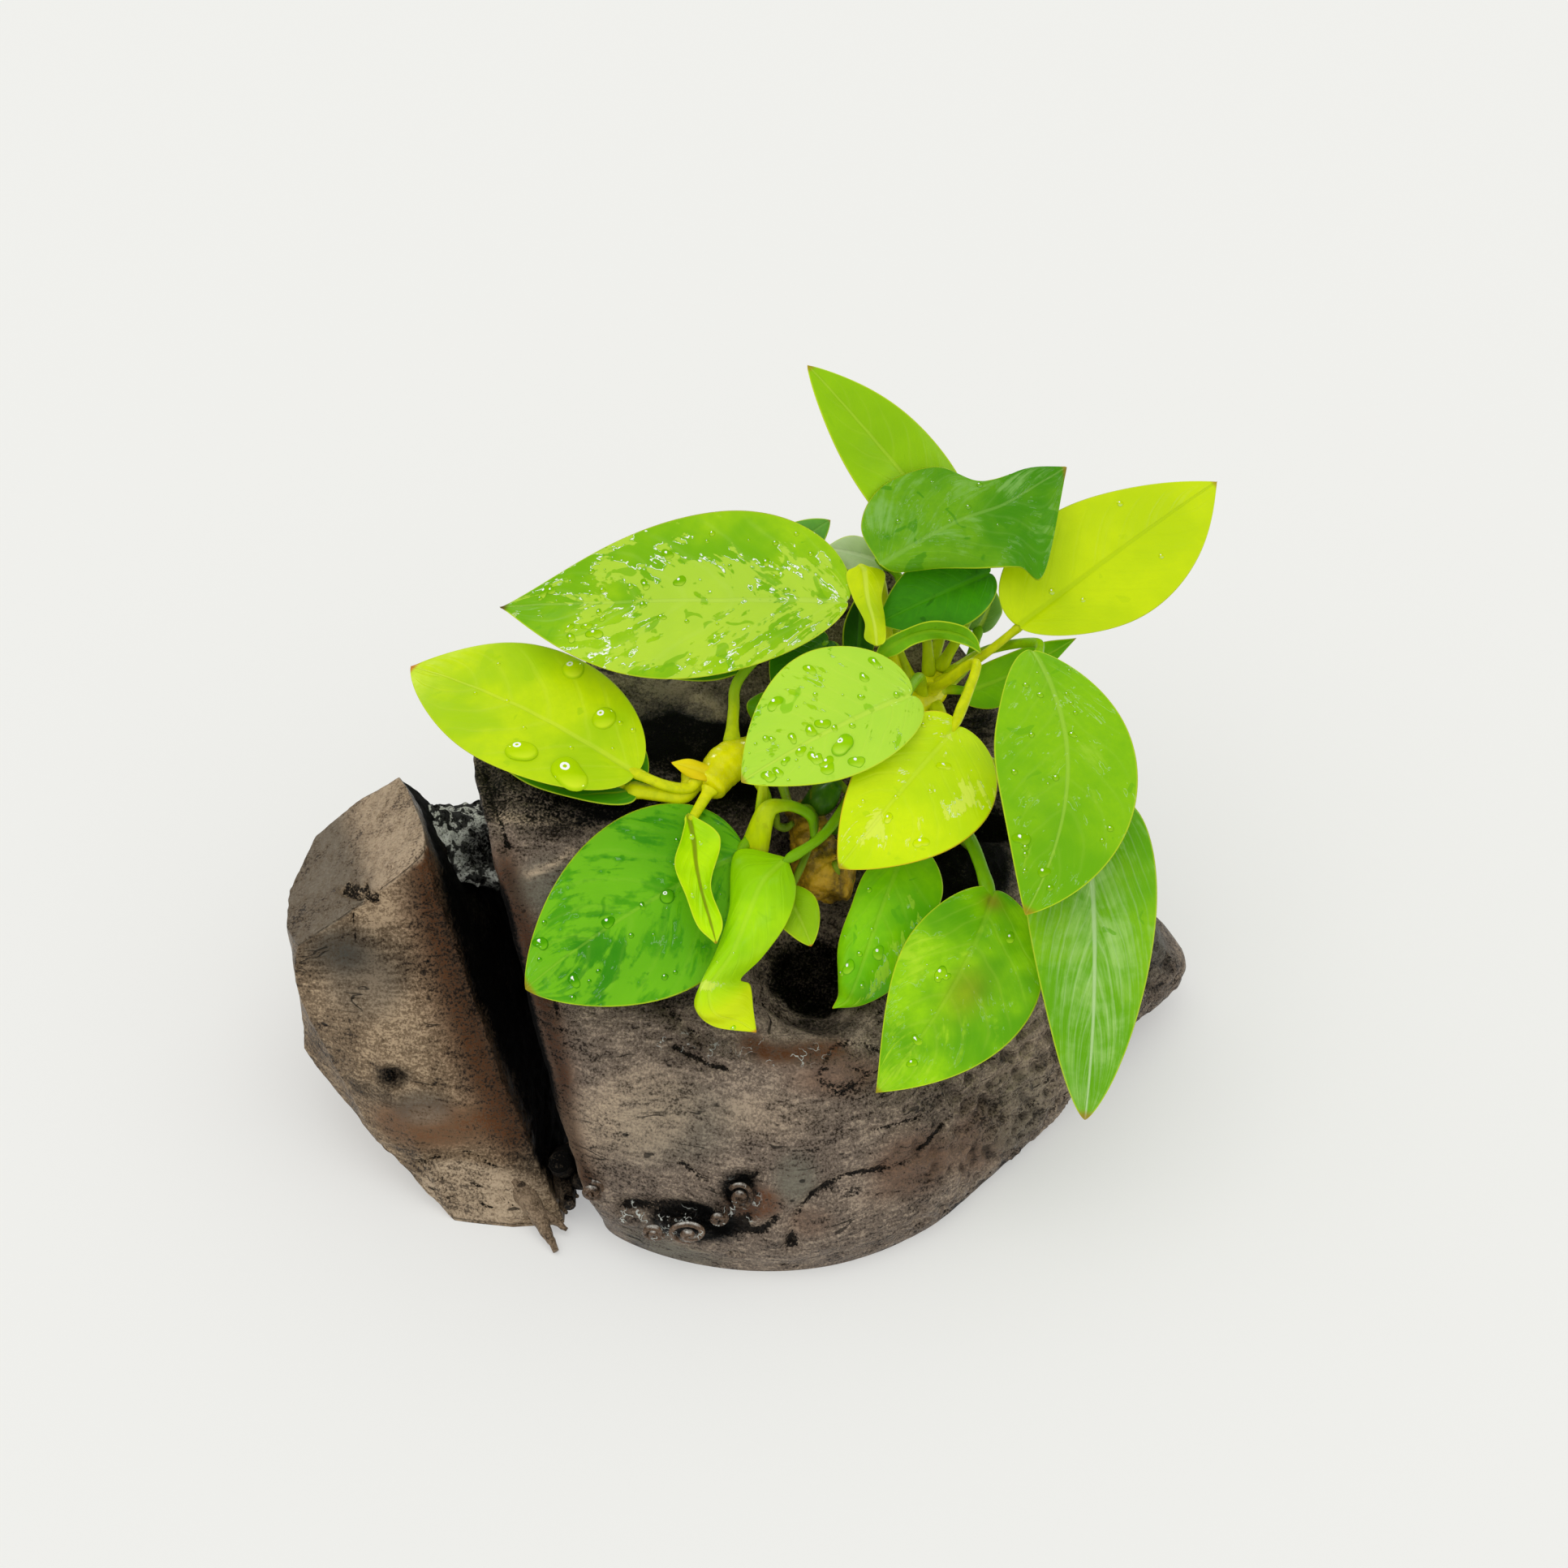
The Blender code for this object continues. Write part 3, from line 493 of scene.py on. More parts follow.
def wood_grain_group() -> Tree:
    """Build the grain all the wood shares: streaks, clouds, pits, cracks, painted highlights and their
    height.

    The streaks lean a little and waver, as the noise that lifts them does. Scales are waves to a metre.

    Returns:
        The group.
    """
    graph, (pits, wet, rough) = new_group("wood_grain", ("Pits", "Wet", "Rough"),
                                          ("Tone", "Pit", "PaintedGlint", "Height"))
    shift = graph.times(graph.noise(graph.place(), 16.0, 2.0), 0.014)
    lift = graph.add("ShaderNodeCombineXYZ", {2: shift}).outputs[0]
    bent = graph.add("ShaderNodeVectorMath", {0: graph.place((0.2, 0.2, 1.0), (8, -14, 0)), 1: lift},
                     operation="ADD").outputs[0]
    streaks = graph.scaled(graph.noise(bent, 1500.0, 3.0, 0.6), 0.34, 0.66)
    clouds = graph.scaled(graph.noise(graph.place(), 75.0, 4.0, 0.65), 0.32, 0.68)
    speckle = graph.scaled(graph.noise(graph.place(), 2200.0, 3.0, 0.75), 0.38, 0.62)
    tone = graph.math("ADD", graph.times(streaks, 0.28), graph.times(clouds, 0.36))
    tone = graph.math("ADD", tone, graph.times(speckle, 0.36))
    sandy = graph.times(graph.less(speckle, 0.5), rough)
    tone = graph.math("ADD", tone, graph.times(sandy, 0.5))
    level = graph.noise(bent, 230.0, 3.0, 0.6, 0.2)
    thin = graph.step(graph.size(graph.less(level, 0.5)), 0.015, 0.004)
    thin = graph.times(thin, graph.step(graph.noise(graph.place(), 130.0, 2.0), 0.57, 0.63))
    flecks = graph.step(graph.noise(graph.place((0.4, 0.4, 1.0)), 800.0, 1.0, 0.4), 0.75, 0.79)
    pit = graph.times(graph.math("MAXIMUM", flecks, thin), pits)
    # Painted highlights: thin broken rings where the wood is wet, which the finish paints pale grey.
    rims = graph.size(graph.less(graph.noise(graph.place(), 520.0, 2.0, 0.5), 0.5))
    painted_glint = graph.times(graph.step(rims, 0.02, 0.008), wet)
    painted_glint = graph.times(painted_glint, graph.step(graph.noise(graph.place(), 300.0, 1.0), 0.55, 0.6))
    height = graph.math("ADD", graph.times(streaks, 0.5), graph.times(speckle, 0.3))
    return graph.give(tone, pit, painted_glint, graph.less(height, graph.times(pit, 0.9)))


@dataclass(frozen=True)
class WoodFinish:
    """Dark wet driftwood. The marks on its points shift its look.

    The mark for painted shade darkens the cleft, the hollows and the wood under the leaves; the crack mark
    turns to crisp ragged cracks painted in deep shade; wet places get painted highlights.
    """

    name: str
    deep: str = "#241c15"
    middle: str = "#75675a"
    light: str = "#ac9a86"
    # Pale worn wood; on the knots, the near-white of a painted highlight.
    worn: str = "#c4ae92"
    reddish: str = "#6b452c"
    cool: str = "#666a5c"
    # The colour of the painted shade in cleft, hollows, cracks and under the leaves, and of the pits.
    stain: str = "#040302"
    relief: float = 0.0006

    def make(self, grain: Tree) -> Material:
        """Build the material round the shared grain.

        Args:
            grain: the shared grain.

        Returns:
            The new material.
        """
        made, graph, shader = new_material(self.name)
        wet = graph.math("MINIMUM", graph.mark("wet"), 1.0)
        bare = graph.less(1.0, graph.times(graph.mark("sawn"), 0.95))
        pattern = graph.use(grain, {"Pits": bare, "Wet": wet, "Rough": graph.mark("rough")})
        tone = pattern.outputs["Tone"]
        uneven = graph.scaled(tone, 0.25, 0.7, 0.15, 1.2)
        shares = [graph.math("MINIMUM", graph.times(graph.mark(mark), uneven), 1.0)
                  for mark in ("red", "cool", "pale")]
        ragged = graph.math("ADD", graph.mark("cut"), graph.scaled(tone, 0.0, 1.0, 0.35, -0.35))
        cut = graph.step(ragged, 0.40, 0.56)
        # Painted shade from its mark, with real darkening where wet; pits and the cracks' painted shade add
        # to it.
        painted_shade_and_wet = graph.times(graph.mark("dark"), graph.scaled(tone, 0.3, 0.75, 1.35, 0.95))
        painted_shade_and_wet = graph.math("MAXIMUM", painted_shade_and_wet, graph.times(wet, 0.3))
        darkness = graph.math("MAXIMUM", painted_shade_and_wet, graph.times(pattern.outputs["Pit"], 0.8))
        darkness = graph.math("MAXIMUM", darkness, graph.times(cut, 0.94))
        # Coats: tone; reddish, grey-green and pale patches; the colour of painted shade; painted highlights.
        colour = graph.coats(self.deep, (
            (graph.step(tone, 0.16, 0.46), self.middle), (graph.step(tone, 0.48, 0.78), self.light),
            *zip(shares, (self.reddish, self.cool, self.worn)),
            (graph.math("MINIMUM", darkness, 1.0), self.stain), (pattern.outputs["PaintedGlint"], "#ccd0c8"),
        ))
        rough = graph.math("ADD", graph.scaled(tone, 0.3, 0.7, 0.24, 0.42),
                           graph.times(graph.mark("rough"), 0.25))
        # Rougher where the painted shade is deepest, so that no gloss lifts it.
        rough = graph.math("MAXIMUM", rough, graph.step(graph.mark("dark"), 0.7, 1.0))
        height = graph.less(pattern.outputs["Height"], cut)
        graph.dress(shader, colour, graph.blend(wet, rough, 0.07), height, self.relief, 0.8, 0.22)
        return made


@dataclass(frozen=True)
class Spot:
    """A soft oval patch on the wood: its middle and half sizes in millimetres, and its strength.

    edge is the share of the patch over which it fades out.
    """

    at: Point
    size: Point
    strength: float = 1.0
    edge: float = 0.6

    def share(self, points: Array) -> Array:
        """Return the strength at points, which falls from 1 to 0 over the outer part of the oval."""
        away = np.linalg.norm((points - np.array(self.at)) / np.array(self.size), axis=-1)
        return self.strength * (1 - smooth_step(1 - self.edge, 1.0, away))


@dataclass(frozen=True)
class Line:
    """A crack, ridge or band that follows points on the wood, with its width and depth in millimetres."""

    points: tuple[Point, ...]
    width: float
    depth: float = 0.0
    strength: float = 1.0

    def share(self, points: Array) -> Array:
        """Return the strength on the line and less away from it, as the bell exp(-(distance / width)^2).

        Args:
            points: where to read it.

        Returns:
            A value at each point.
        """
        path = curve_through(self.points, 6 * len(self.points))
        nearest = np.full(points.shape[:-1], 1e9)
        for start, end in zip(path[:-1], path[1:]):
            run = end - start
            along = np.clip(((points - start) @ run) / (run @ run), 0, 1)
            nearest = np.minimum(nearest, ((points - start - along[..., None] * run) ** 2).sum(axis=-1))
        return self.strength * np.exp(-nearest / self.width ** 2)


def total(parts: tuple, points: Array) -> Array:
    """Add the shares of several spots or lines at points."""
    return sum((part.share(points) for part in parts), np.zeros(points.shape[:-1]))


class SpotSheet:
    """A smooth sheet z(x, y) through named spot heights: one rounded cone sqrt(d^2 + s^2) to a spot."""

    SOFTNESS = 9.0

    def __init__(self, spots: dict[str, Point]) -> None:
        """Solve the weights of the cones."""
        places = np.array(list(spots.values()), float)
        self.centres = places[:, :2]
        self.mean = places[:, 2].mean()
        self.weights = np.linalg.solve(self._kernel(self.centres), places[:, 2] - self.mean)

    def _kernel(self, points: Array) -> Array:
        """Return the rounded distance from every point to every spot."""
        apart = np.linalg.norm(points[:, None, :] - self.centres[None, :, :], axis=2)
        return np.sqrt(apart ** 2 + self.SOFTNESS ** 2)

    def height(self, x: Array, y: Array) -> Array:
        """Return the sheet's height at x and y."""
        points = np.column_stack([np.ravel(x), np.ravel(y)])
        return (self.mean + self._kernel(points) @ self.weights).reshape(np.shape(x))


def around(table: Array, angles: Array) -> Array:
    """Read a table of directions at the given angles, as smooth closed Hermite curves.

    Args:
        table: a direction in degrees and its values to a row.
        angles: the angles, in degrees.

    Returns:
        The values, a row to an angle.
    """
    knots, values = table[:, 0], table[:, 1:]
    long_knots = np.concatenate([knots[-2:] - 360, knots, knots[:3] + 360])
    long_values = np.concatenate([values[-2:], values, values[:3]])
    slopes = np.gradient(long_values, long_knots, axis=0)
    index = np.searchsorted(long_knots, angles, side="right") - 1
    step = (long_knots[index + 1] - long_knots[index])[:, None]
    t = (angles[:, None] - long_knots[index][:, None]) / step
    start, end = long_values[index], long_values[index + 1]
    start_slope, end_slope = slopes[index] * step, slopes[index + 1] * step
    return ((2 * t ** 3 - 3 * t ** 2 + 1) * start + (t ** 3 - 2 * t ** 2 + t) * start_slope
            + (3 * t ** 2 - 2 * t ** 3) * end + (t ** 3 - t ** 2) * end_slope)


@dataclass(frozen=True)
class Cleft:
    """The two walls between trunk and fork, which lean to the left as they rise, and the web across them."""

    trunk_foot_x: float = -23.0
    trunk_lean: float = 0.32
    trunk_rear_turn: float = 0.22
    trunk_turn_y: float = -9.0
    fork_foot_x: float = -29.0
    fork_lean: float = 0.433
    rounding: float = 1.5
    gap: float = 0.35
    web_front_y: float = 12.0
    web_rear_y: float = 30.0
    web_top_z: float = 43.0
    web_blend: float = 4.0
    fork_back: tuple[float, float, float, float] = (-6.0, 0.33, 24.0, 40.0)

    def soft_floor(self, value: Array, floor: Array) -> Array:
        """Keep value above floor with a rounded turn: floor + r log(1 + exp((value - floor) / r))."""
        return floor + self.rounding * np.logaddexp(0.0, (value - floor) / self.rounding)

    def trunk_x(self, y: Array, z: Array) -> Array:
        """Return the x of the trunk's wall, and of the web's end where the web reaches the fork.

        Args:
            y: how far back.
            z: how high.

        Returns:
            The wall's x at each place.
        """
        turned = self.trunk_rear_turn * np.maximum(0.0, y - self.trunk_turn_y)
        wall = self.trunk_foot_x - self.trunk_lean * z - turned
        end = self.fork_foot_x - self.fork_lean * z + self.gap + self.rounding * 0.7
        inside = (smooth_step(self.web_front_y, self.web_front_y + self.web_blend, y)
                  * (1 - smooth_step(self.web_top_z - self.web_blend, self.web_top_z, z))
                  * (1 - smooth_step(self.web_rear_y - self.web_blend, self.web_rear_y, y)))
        return wall + inside * (end - wall)

    def fork_x(self, y: Array, z: Array) -> Array:
        """Return the x of the fork's wall, which turns away at the back of the sawn top."""
        start_y, turn, low, high = self.fork_back
        turned = turn * np.maximum(0.0, y - start_y) * smooth_step(low, high, z)
        return self.fork_foot_x - self.fork_lean * z - turned


@dataclass(frozen=True)
class WoodMarks:
    """What lies on one piece of wood: spots and lines for each mark, and dents, cracks and ridges."""

    # Pale worn and sawn wood, and painted highlights behind the crown and along the knots' tops.
    pale: tuple = ()
    red: tuple = ()
    # Painted shade: where the wood goes darker for the shade of the cleft, the hollows and the leaves.
    dark: tuple = ()
    cool: tuple = ()
    rough: tuple = ()
    wet: tuple = ()
    # Cracks and hollows: they lower the relief and are painted in deep shade.
    cut: tuple = ()
    dents: tuple[Spot, ...] = ()
    cracks: tuple[Line, ...] = ()
    # How much of the cracks goes into the crack mark, and so into its painted deep shade.
    crack_shade_share: float = 0.66

    def values(self, points: Array) -> dict[str, Array]:
        """Return the value of each mark at points, from 0 to 1.

        Args:
            points: where to read it.

        Returns:
            The values by mark.
        """
        found = {name: np.clip(total(getattr(self, name), points), 0, 1)
                 for name in ("pale", "red", "dark", "cool", "rough", "wet", "cut")}
        cracks = np.minimum(total(self.cracks, points), 1.0) ** 2
        found["cut"] = np.clip(found["cut"] + self.crack_shade_share * cracks, 0, 1)
        found["sawn"] = np.zeros(points.shape[:-1])
        return found

    def coarse(self, points: Array, noise: "Noise") -> Array:
        """Return the coarse relief of the rough places, in millimetres."""
        relief = noise.layered(points / 1.5, 2) + 1.2 * noise.layered(points / 4.0, 2)
        return 0.35 * np.clip(total(self.rough, points), 0, 3) * relief

    def depth(self, points: Array) -> Array:
        """Return how far dents and cracks go in, in millimetres."""
        return total(self.dents, points) + sum((line.depth * line.share(points) for line in self.cracks),
                                               np.zeros(points.shape[:-1]))


class Driftwood(ABC):
    """A piece of the driftwood: stacked rings that noise, dents and cracks then wear."""

    marks: WoodMarks

    @abstractmethod
    def rings(self) -> tuple[Array, Array, Array]:
        """Return the smooth form's rings and the two points that close them."""

    @abstractmethod
    def wear(self, points: Array) -> Array:
        """Return the height of the weathered surface above the smooth form, in millimetres."""

    def shell(self) -> Shell:
        """Wear the smooth form along its normals and mark its points. The foot stays on the floor.

        Returns:
            The worn surface with its marks.
        """
        rings, start, end = self.rings()
        normals = ring_normals(rings)
        height = self.wear(rings) - self.marks.depth(rings)
        height *= smooth_step(0.0, 2.0, rings[..., 2]) * 0.9 + 0.1
        worn = rings + normals * height[..., None]
        worn[..., 2] = np.maximum(worn[..., 2], np.where(rings[..., 2] <= 0.01, rings[..., 2], 0.02))
        return Shell(worn, start, worn[-1].mean(axis=0), self.marks.values(rings))


TRUNK_TOP_SPOTS = {
    "left rear corner": (-45, 8, 58),
    "left front corner": (-41, -9, 58),
    "left plateau": (-32, 0, 59),
    "front crest": (-22, -8, 57),
    "left rear rim": (-32, 19, 60),
    "rear left rim": (-19, 29, 65),
    "rear rim": (1, 39, 70),
    "peak": (20, 45, 77),
    "rear right rim": (33, 38, 65),
    "right rear rim": (45, 32, 54),
    "right arm root": (57, 24, 42),
    "right arm": (65, 17, 33.5),
    "right end": (72, 12, 23.5),
    "slope behind the crown": (-17, 20, 61),
    "wood above the crown": (-3, 18, 60),
    "seat of the left crown": (-1, 3, 56.4),
    "seat of the right crown": (31, 27, 53),
    "front of the seat": (-6, -10, 53),
    "front shoulder": (-14, -24, 46),
    "front left shoulder": (-30, -22, 48),
    "front low shoulder": (-6, -36, 36),
    "rear of the hollow": (16, 24, 50),
    "seat of the old rhizome": (16, -6, 40),
    "pit floor": (11, -19, 28),
    "pit left side": (1, -22, 41),
    "pit right side": (22, -20, 36),
    "pit lip": (12, -34, 34),
    "hollow": (40, 14, 33),
    "ledge": (42, 5, 41),
    "wood right of the crown": (44, 24, 50),
    "right shoulder": (50, -8, 33),
    "front right shoulder": (36, -28, 30),
}

# Direction from the trunk's centre in degrees, reach of the top edge, reach and height of the shoulder, reach
# and height of the belly, and reach of the foot.
TRUNK_SIDE = (
    (0, 50, 56, 17, 58.5, 9, 51),
    (8, 58, 63, 13, 66.5, 8.5, 60),
    (14, 57, 62, 14, 66, 9, 59),
    (25, 52, 57, 20, 60.5, 10, 55),
    (45, 46, 52, 38, 56, 16, 52),
    (65, 46, 52, 48, 56, 22, 52),
    (85, 46, 51, 58, 55, 26, 51),
    (110, 46, 51, 54, 56, 24, 52),
    (135, 47, 53, 50, 58, 22, 54),
    (155, 54, 60, 44, 63, 20, 58),
    (172, 61, 65, 44, 66, 20, 60),
    (190, 57, 62, 42, 62, 18, 58),
    (210, 50, 58, 36, 61, 14, 59),
    (228, 43, 54, 28, 60, 11, 58),
    (250, 40, 50, 24, 57, 9, 56),
    (270, 38, 48, 22, 54, 8, 53),
    (290, 35, 44, 21, 49.5, 8, 48.5),
    (312, 36, 41, 20, 45, 8, 44),
    (335, 40, 44, 19, 47, 8, 45),
)

# Matching points round the fork's foot, middle and sawn top.
FORK_FOOT = (
    (-27, -45), (-38, -46), (-48, -44.5), (-61, -35), (-74, -22), (-75, -6),
    (-68, 12), (-52, 26), (-31, 30), (-27, 10), (-27, -12), (-27, -32),
)
FORK_MIDDLE = (
    (-39, -30), (-50, -31.5), (-61, -30), (-72, -25.5), (-74.6, -18), (-75.6, -5),
    (-71, 10), (-60, 19), (-44, 21), (-39, 5), (-39, -10), (-39, -22),
)
FORK_TOP = (
    (-52.6, -7.8), (-56.2, -11), (-63.4, -15.9), (-73, -21.3), (-75.6, -16.2), (-76, -7.1),
    (-72.5, 5), (-65.7, 10.6), (-58, 13.5), (-54.6, 7.3), (-51.6, -1.1), (-51.4, -4.9),
)

# Start, end, start radius, end radius and painted shade of the splinters at the fork's foot.
SPLINTERS = (
    ((-37, -41, 6), (-30, -52, 0.9), 2.4, 0.5, 0.25),
    ((-34, -45, 3.5), (-28.5, -48, 1.6), 1.2, 0.4, 0.25),
)

# Middle, half width, half height and starting angle of the knots.
WHORLS = (
    ((-7.6, -56.2, 10.6), 3.6, 2.8, 20),
    ((-2.8, -56.4, 14), 1.4, 1.5, 150),
    ((0.9, -55.2, 18), 2.1, 3.2, 250),
    ((-13.6, -55.4, 9.6), 2.0, 1.9, 80),
    ((-24, -48.2, 11.6), 2.2, 2.2, 200),
)


# The worn strip down the trunk's edge at the cleft.
STRIP = ((-39, -13, 54), (-37, -18.4, 52), (-32.9, -28.6, 41.3), (-30.5, -34.6, 34.9), (-28.9, -38.1, 29.9),
         (-27.3, -42.3, 20.6), (-25.1, -46.4, 13.1))

TRUNK_MARKS = WoodMarks(
    pale=(
        Line(((-40, -6.5, 58.3), (-34.8, -7.1, 58), (-28.1, -6.9, 57.6), (-22.6, -8, 57)), 1.1),
        Line(((-34.6, -15.7, 53.5), (-30.6, -13.9, 54.1), (-27.6, -11.8, 55.1)), 0.6),
        Spot((-15, -43.5, 25), (13, 8, 12), 0.5),
        Spot((-48, 16, 43), (9, 9, 5), 0.9),
        Spot((12.7, -18, 29), (3.5, 3.5, 3), 0.35),
        Spot((-24, -42, 20), (8, 8, 12), 0.3),
        # A painted wet highlight on the wood behind the crown.
        Spot((-8.2, 21.6, 62), (5, 3, 3), 0.5),
        Spot((5, -45, 27), (12, 6, 5), 0.25),
        Spot((52, -20, 15), (24, 24, 14), 0.3),
        # The streak of the same painted wet highlight.
        Line(((-6.8, 20.2, 61.4), (-4, 19.1, 60.5), (-1.9, 16.4, 59.2)), 0.9),
    ),
    red=(
        Line(STRIP, 2.6),
        Line(((2.5, -36.7, 35.2), (7.2, -38.5, 34.2), (16.6, -36, 33.3)), 2.0),
        Spot((17, -40, 31), (14, 6, 4), 0.5),
        Spot((30, -46, 16), (13, 8, 8), 0.6),
        Spot((40, -36, 12), (14, 10, 9), 0.5),
        Spot((3, -54, 15), (6.5, 4, 4.5), 0.95),
        Spot((12, -54, 11), (6, 4, 4), 0.4),
        Spot((20, -49, 12), (8, 4, 5), 0.4),
    ),
    # Painted shade in the pit, the hollows, under the leaves and round the knots; darker along the strip and
    # at the right end.
    dark=(
        Spot((13, -19, 30), (13, 12, 10), 0.95, 0.4),
        Spot((36, -6, 41), (15, 15, 10), 1.0, 0.5),
        Spot((40, 14, 34), (12, 10, 8), 0.8),
        Spot((0, 12, 57), (26, 14, 12), 0.45),
        Spot((-10, 5, 58), (30, 22, 14), 0.8),
        Spot((-28, -2, 59), (16, 13, 8), 0.55),
        Spot((-43, 0, 57), (6, 12, 9), 0.65),
        Spot((14, -4, 48), (16, 13, 12), 0.6),
        Spot((38, 24, 52), (15, 12, 10), 0.75),
        Spot((40, 8, 40), (15, 15, 12), 0.85),
        Spot((71, 8, 20), (12, 14, 14), 0.35),
        Line(STRIP, 2.2, strength=0.5),
        # Less painted shade on the painted wet highlight behind the crown.
        Spot((-5, 18.5, 60.5), (6, 4, 4), -0.8),
        Spot((-14, -30, 43), (16, 9, 7), 0.45),
        Spot((-6, -53.5, 10.4), (11, 5, 5), 1.0, 0.4),
        Spot((0.5, -53, 17), (4, 4, 5), 0.9, 0.5),
        Spot((-21, -26, 45), (8, 6, 4), 0.5),
        Spot((14, -31, 33), (10, 4, 3), 0.6),
    ),
    cool=(
        Spot((-30, -17, 52), (10, 8, 6), 0.6),
        Spot((-10, -44, 24), (16, 10, 10), 0.4),
        Spot((10, -52, 19), (5, 5, 7), 0.6),
        Spot((-12, -53, 3), (18, 5, 5), 0.6),
        Spot((48, -30, 12), (12, 12, 10), 0.5),
        Spot((70, 8, 20), (12, 14, 14), 0.7),
    ),
    rough=(
        Spot((-34, 4, 60), (16, 16, 8), 2.0),
        Spot((-46, 18, 43), (10, 8, 5), 1.0),
        Spot((11, -19, 31), (13, 11, 9), 2.5),
        Spot((66, 6, 16), (9, 14, 12), 0.4),
    ),
    wet=(
        Spot((-12, -53, 9.5), (12, 5, 4.2), 1.2, 0.4),
        Spot((0, -54, 14.5), (5, 4, 6), 1.2, 0.4),
        Spot((9, -38, 34.5), (11, 4, 2.5), 0.8),
        Spot((-9, -38, 35), (9, 5, 3), 0.7),
    ),
    # Painted deep shade in the rough top, the pit, the web, along the strip and among the knots.
    cut=(
        Spot((-34, 2, 60), (13, 14, 8), 0.34),
        Spot((10, -19, 31), (12, 10, 9), 0.42),
        Spot((-46, 18, 43), (9, 9, 6), 0.4),
        Line(STRIP, 2.6, strength=0.36),
        Spot((5, -53, 15), (7, 4, 5), 0.34),
        Spot((-5, -54, 10.8), (10, 5, 4.2), 0.5, 0.4),
    ),
    dents=(
        Spot((-18.4, -51.3, 8.0), (2.8, 3, 2.0), -0.9, 0.7),
        Spot((-11.4, -53.8, 9.9), (2.6, 3, 2.3), -1.1, 0.7),
        Spot((-7.4, -54.8, 9.8), (2.3, 3, 2.3), -1.0, 0.7),
        Spot((-2.9, -54.6, 12.9), (1.6, 2, 1.6), -1.1, 0.7),
        Spot((1.7, -53.2, 17.2), (1.6, 2, 2.8), -1.1, 0.7),
    ),
    cracks=(
        Line(((-42.5, 3.9, 58.2), (-41, -2.6, 58.6), (-39.4, -7.2, 58.2), (-37.9, -11.6, 56.4)), 0.9, 0.9),
        Line(((-19, -51, 10.6), (-14.4, -52.1, 12.0), (-9, -53.1, 13.2), (-4.9, -54.6, 12.2)), 1.6, 1.4),
        Line(((-5, -55, 11.4), (-2, -55.6, 10.6), (0, -55.6, 10.9), (2, -55.6, 12.6)), 1.3, 1.3),
        Line(((2.6, -56, 9.8), (4.5, -56.1, 10.4), (6.6, -55.4, 12)), 1.4, 1.3),
        Line(((-1.2, -53.9, 15.4), (0.6, -52.6, 19), (3.6, -52, 19.6)), 1.0, 1.0),
        Line(((9, -56.5, 7.6), (9.4, -56.5, 7.6)), 1.3, 1.0),
        Line(((-1, -56.5, 4.9), (-0.2, -56.5, 5.4), (0.7, -56.5, 4.9)), 0.6, 0.6),
        Line(((-23.4, -48, 7.5), (-23.2, -47.7, 9.5), (-22.2, -48, 11)), 0.7, 0.5),
        Line(((-24.6, -46.2, 13.5), (-23.6, -47.2, 12.2), (-24.2, -47.2, 9.5)), 0.6, 0.5),
        Line(((-10, -50, 21.5), (-7.6, -50.6, 19.7), (-5, -52, 18.2)), 0.8, 0.5),
        Line(((-30, -31, 40), (-28.4, -35.6, 34), (-27, -39, 27.5), (-25.4, -43, 20)), 0.7, 0.7),
        Line(((-20, -28, 43), (-14, -31, 41), (-6, -36, 36.4)), 1.0, 1.0),
        Line(((-10.2, -37.5, 35.1), (-4.9, -39.6, 33.4), (-1.5, -40.6, 32.9)), 0.7, 0.7),
        Line(((9.2, -56.4, 7.8), (10.4, -54.6, 13), (13.9, -52.9, 16.6), (19, -50.5, 18),
              (24.7, -48.3, 17.2)), 1.1, 1.1),
        Line(((4.5, -28, 35.9), (12.6, -30, 32.7), (18, -28.9, 32.9), (21, -26.8, 33.8)), 1.0, 0.7, 0.8),
        Line(((38.6, 15.2, 34), (46.8, 11.4, 37), (55, 8, 34)), 1.2, 0.8),
        Line(((14, -38, 33), (20.6, -39, 31), (25, -38, 29.5)), 0.6, 0.5),
        Line(((17, -47, 25.4), (21, -46.4, 24), (30, -41.8, 22.4)), 0.6, 0.5),
        Line(((26, -47, 14), (31, -44, 17.5), (35, -40, 19)), 0.7, 0.6),
        Line(((58, -16, 6), (66, -8, 10), (73, 1, 14)), 1.0, 0.9),
        Line(((60, -13, 12), (66, -6, 16), (71, 2, 19)), 0.9, 0.8),
    ),
)

# The fork's front edge along the cleft.
FORK_EDGE = ((-52, -8, 51.5), (-50.4, -17, 45), (-47.6, -24, 37), (-42.3, -33, 24), (-38, -38.5, 15))

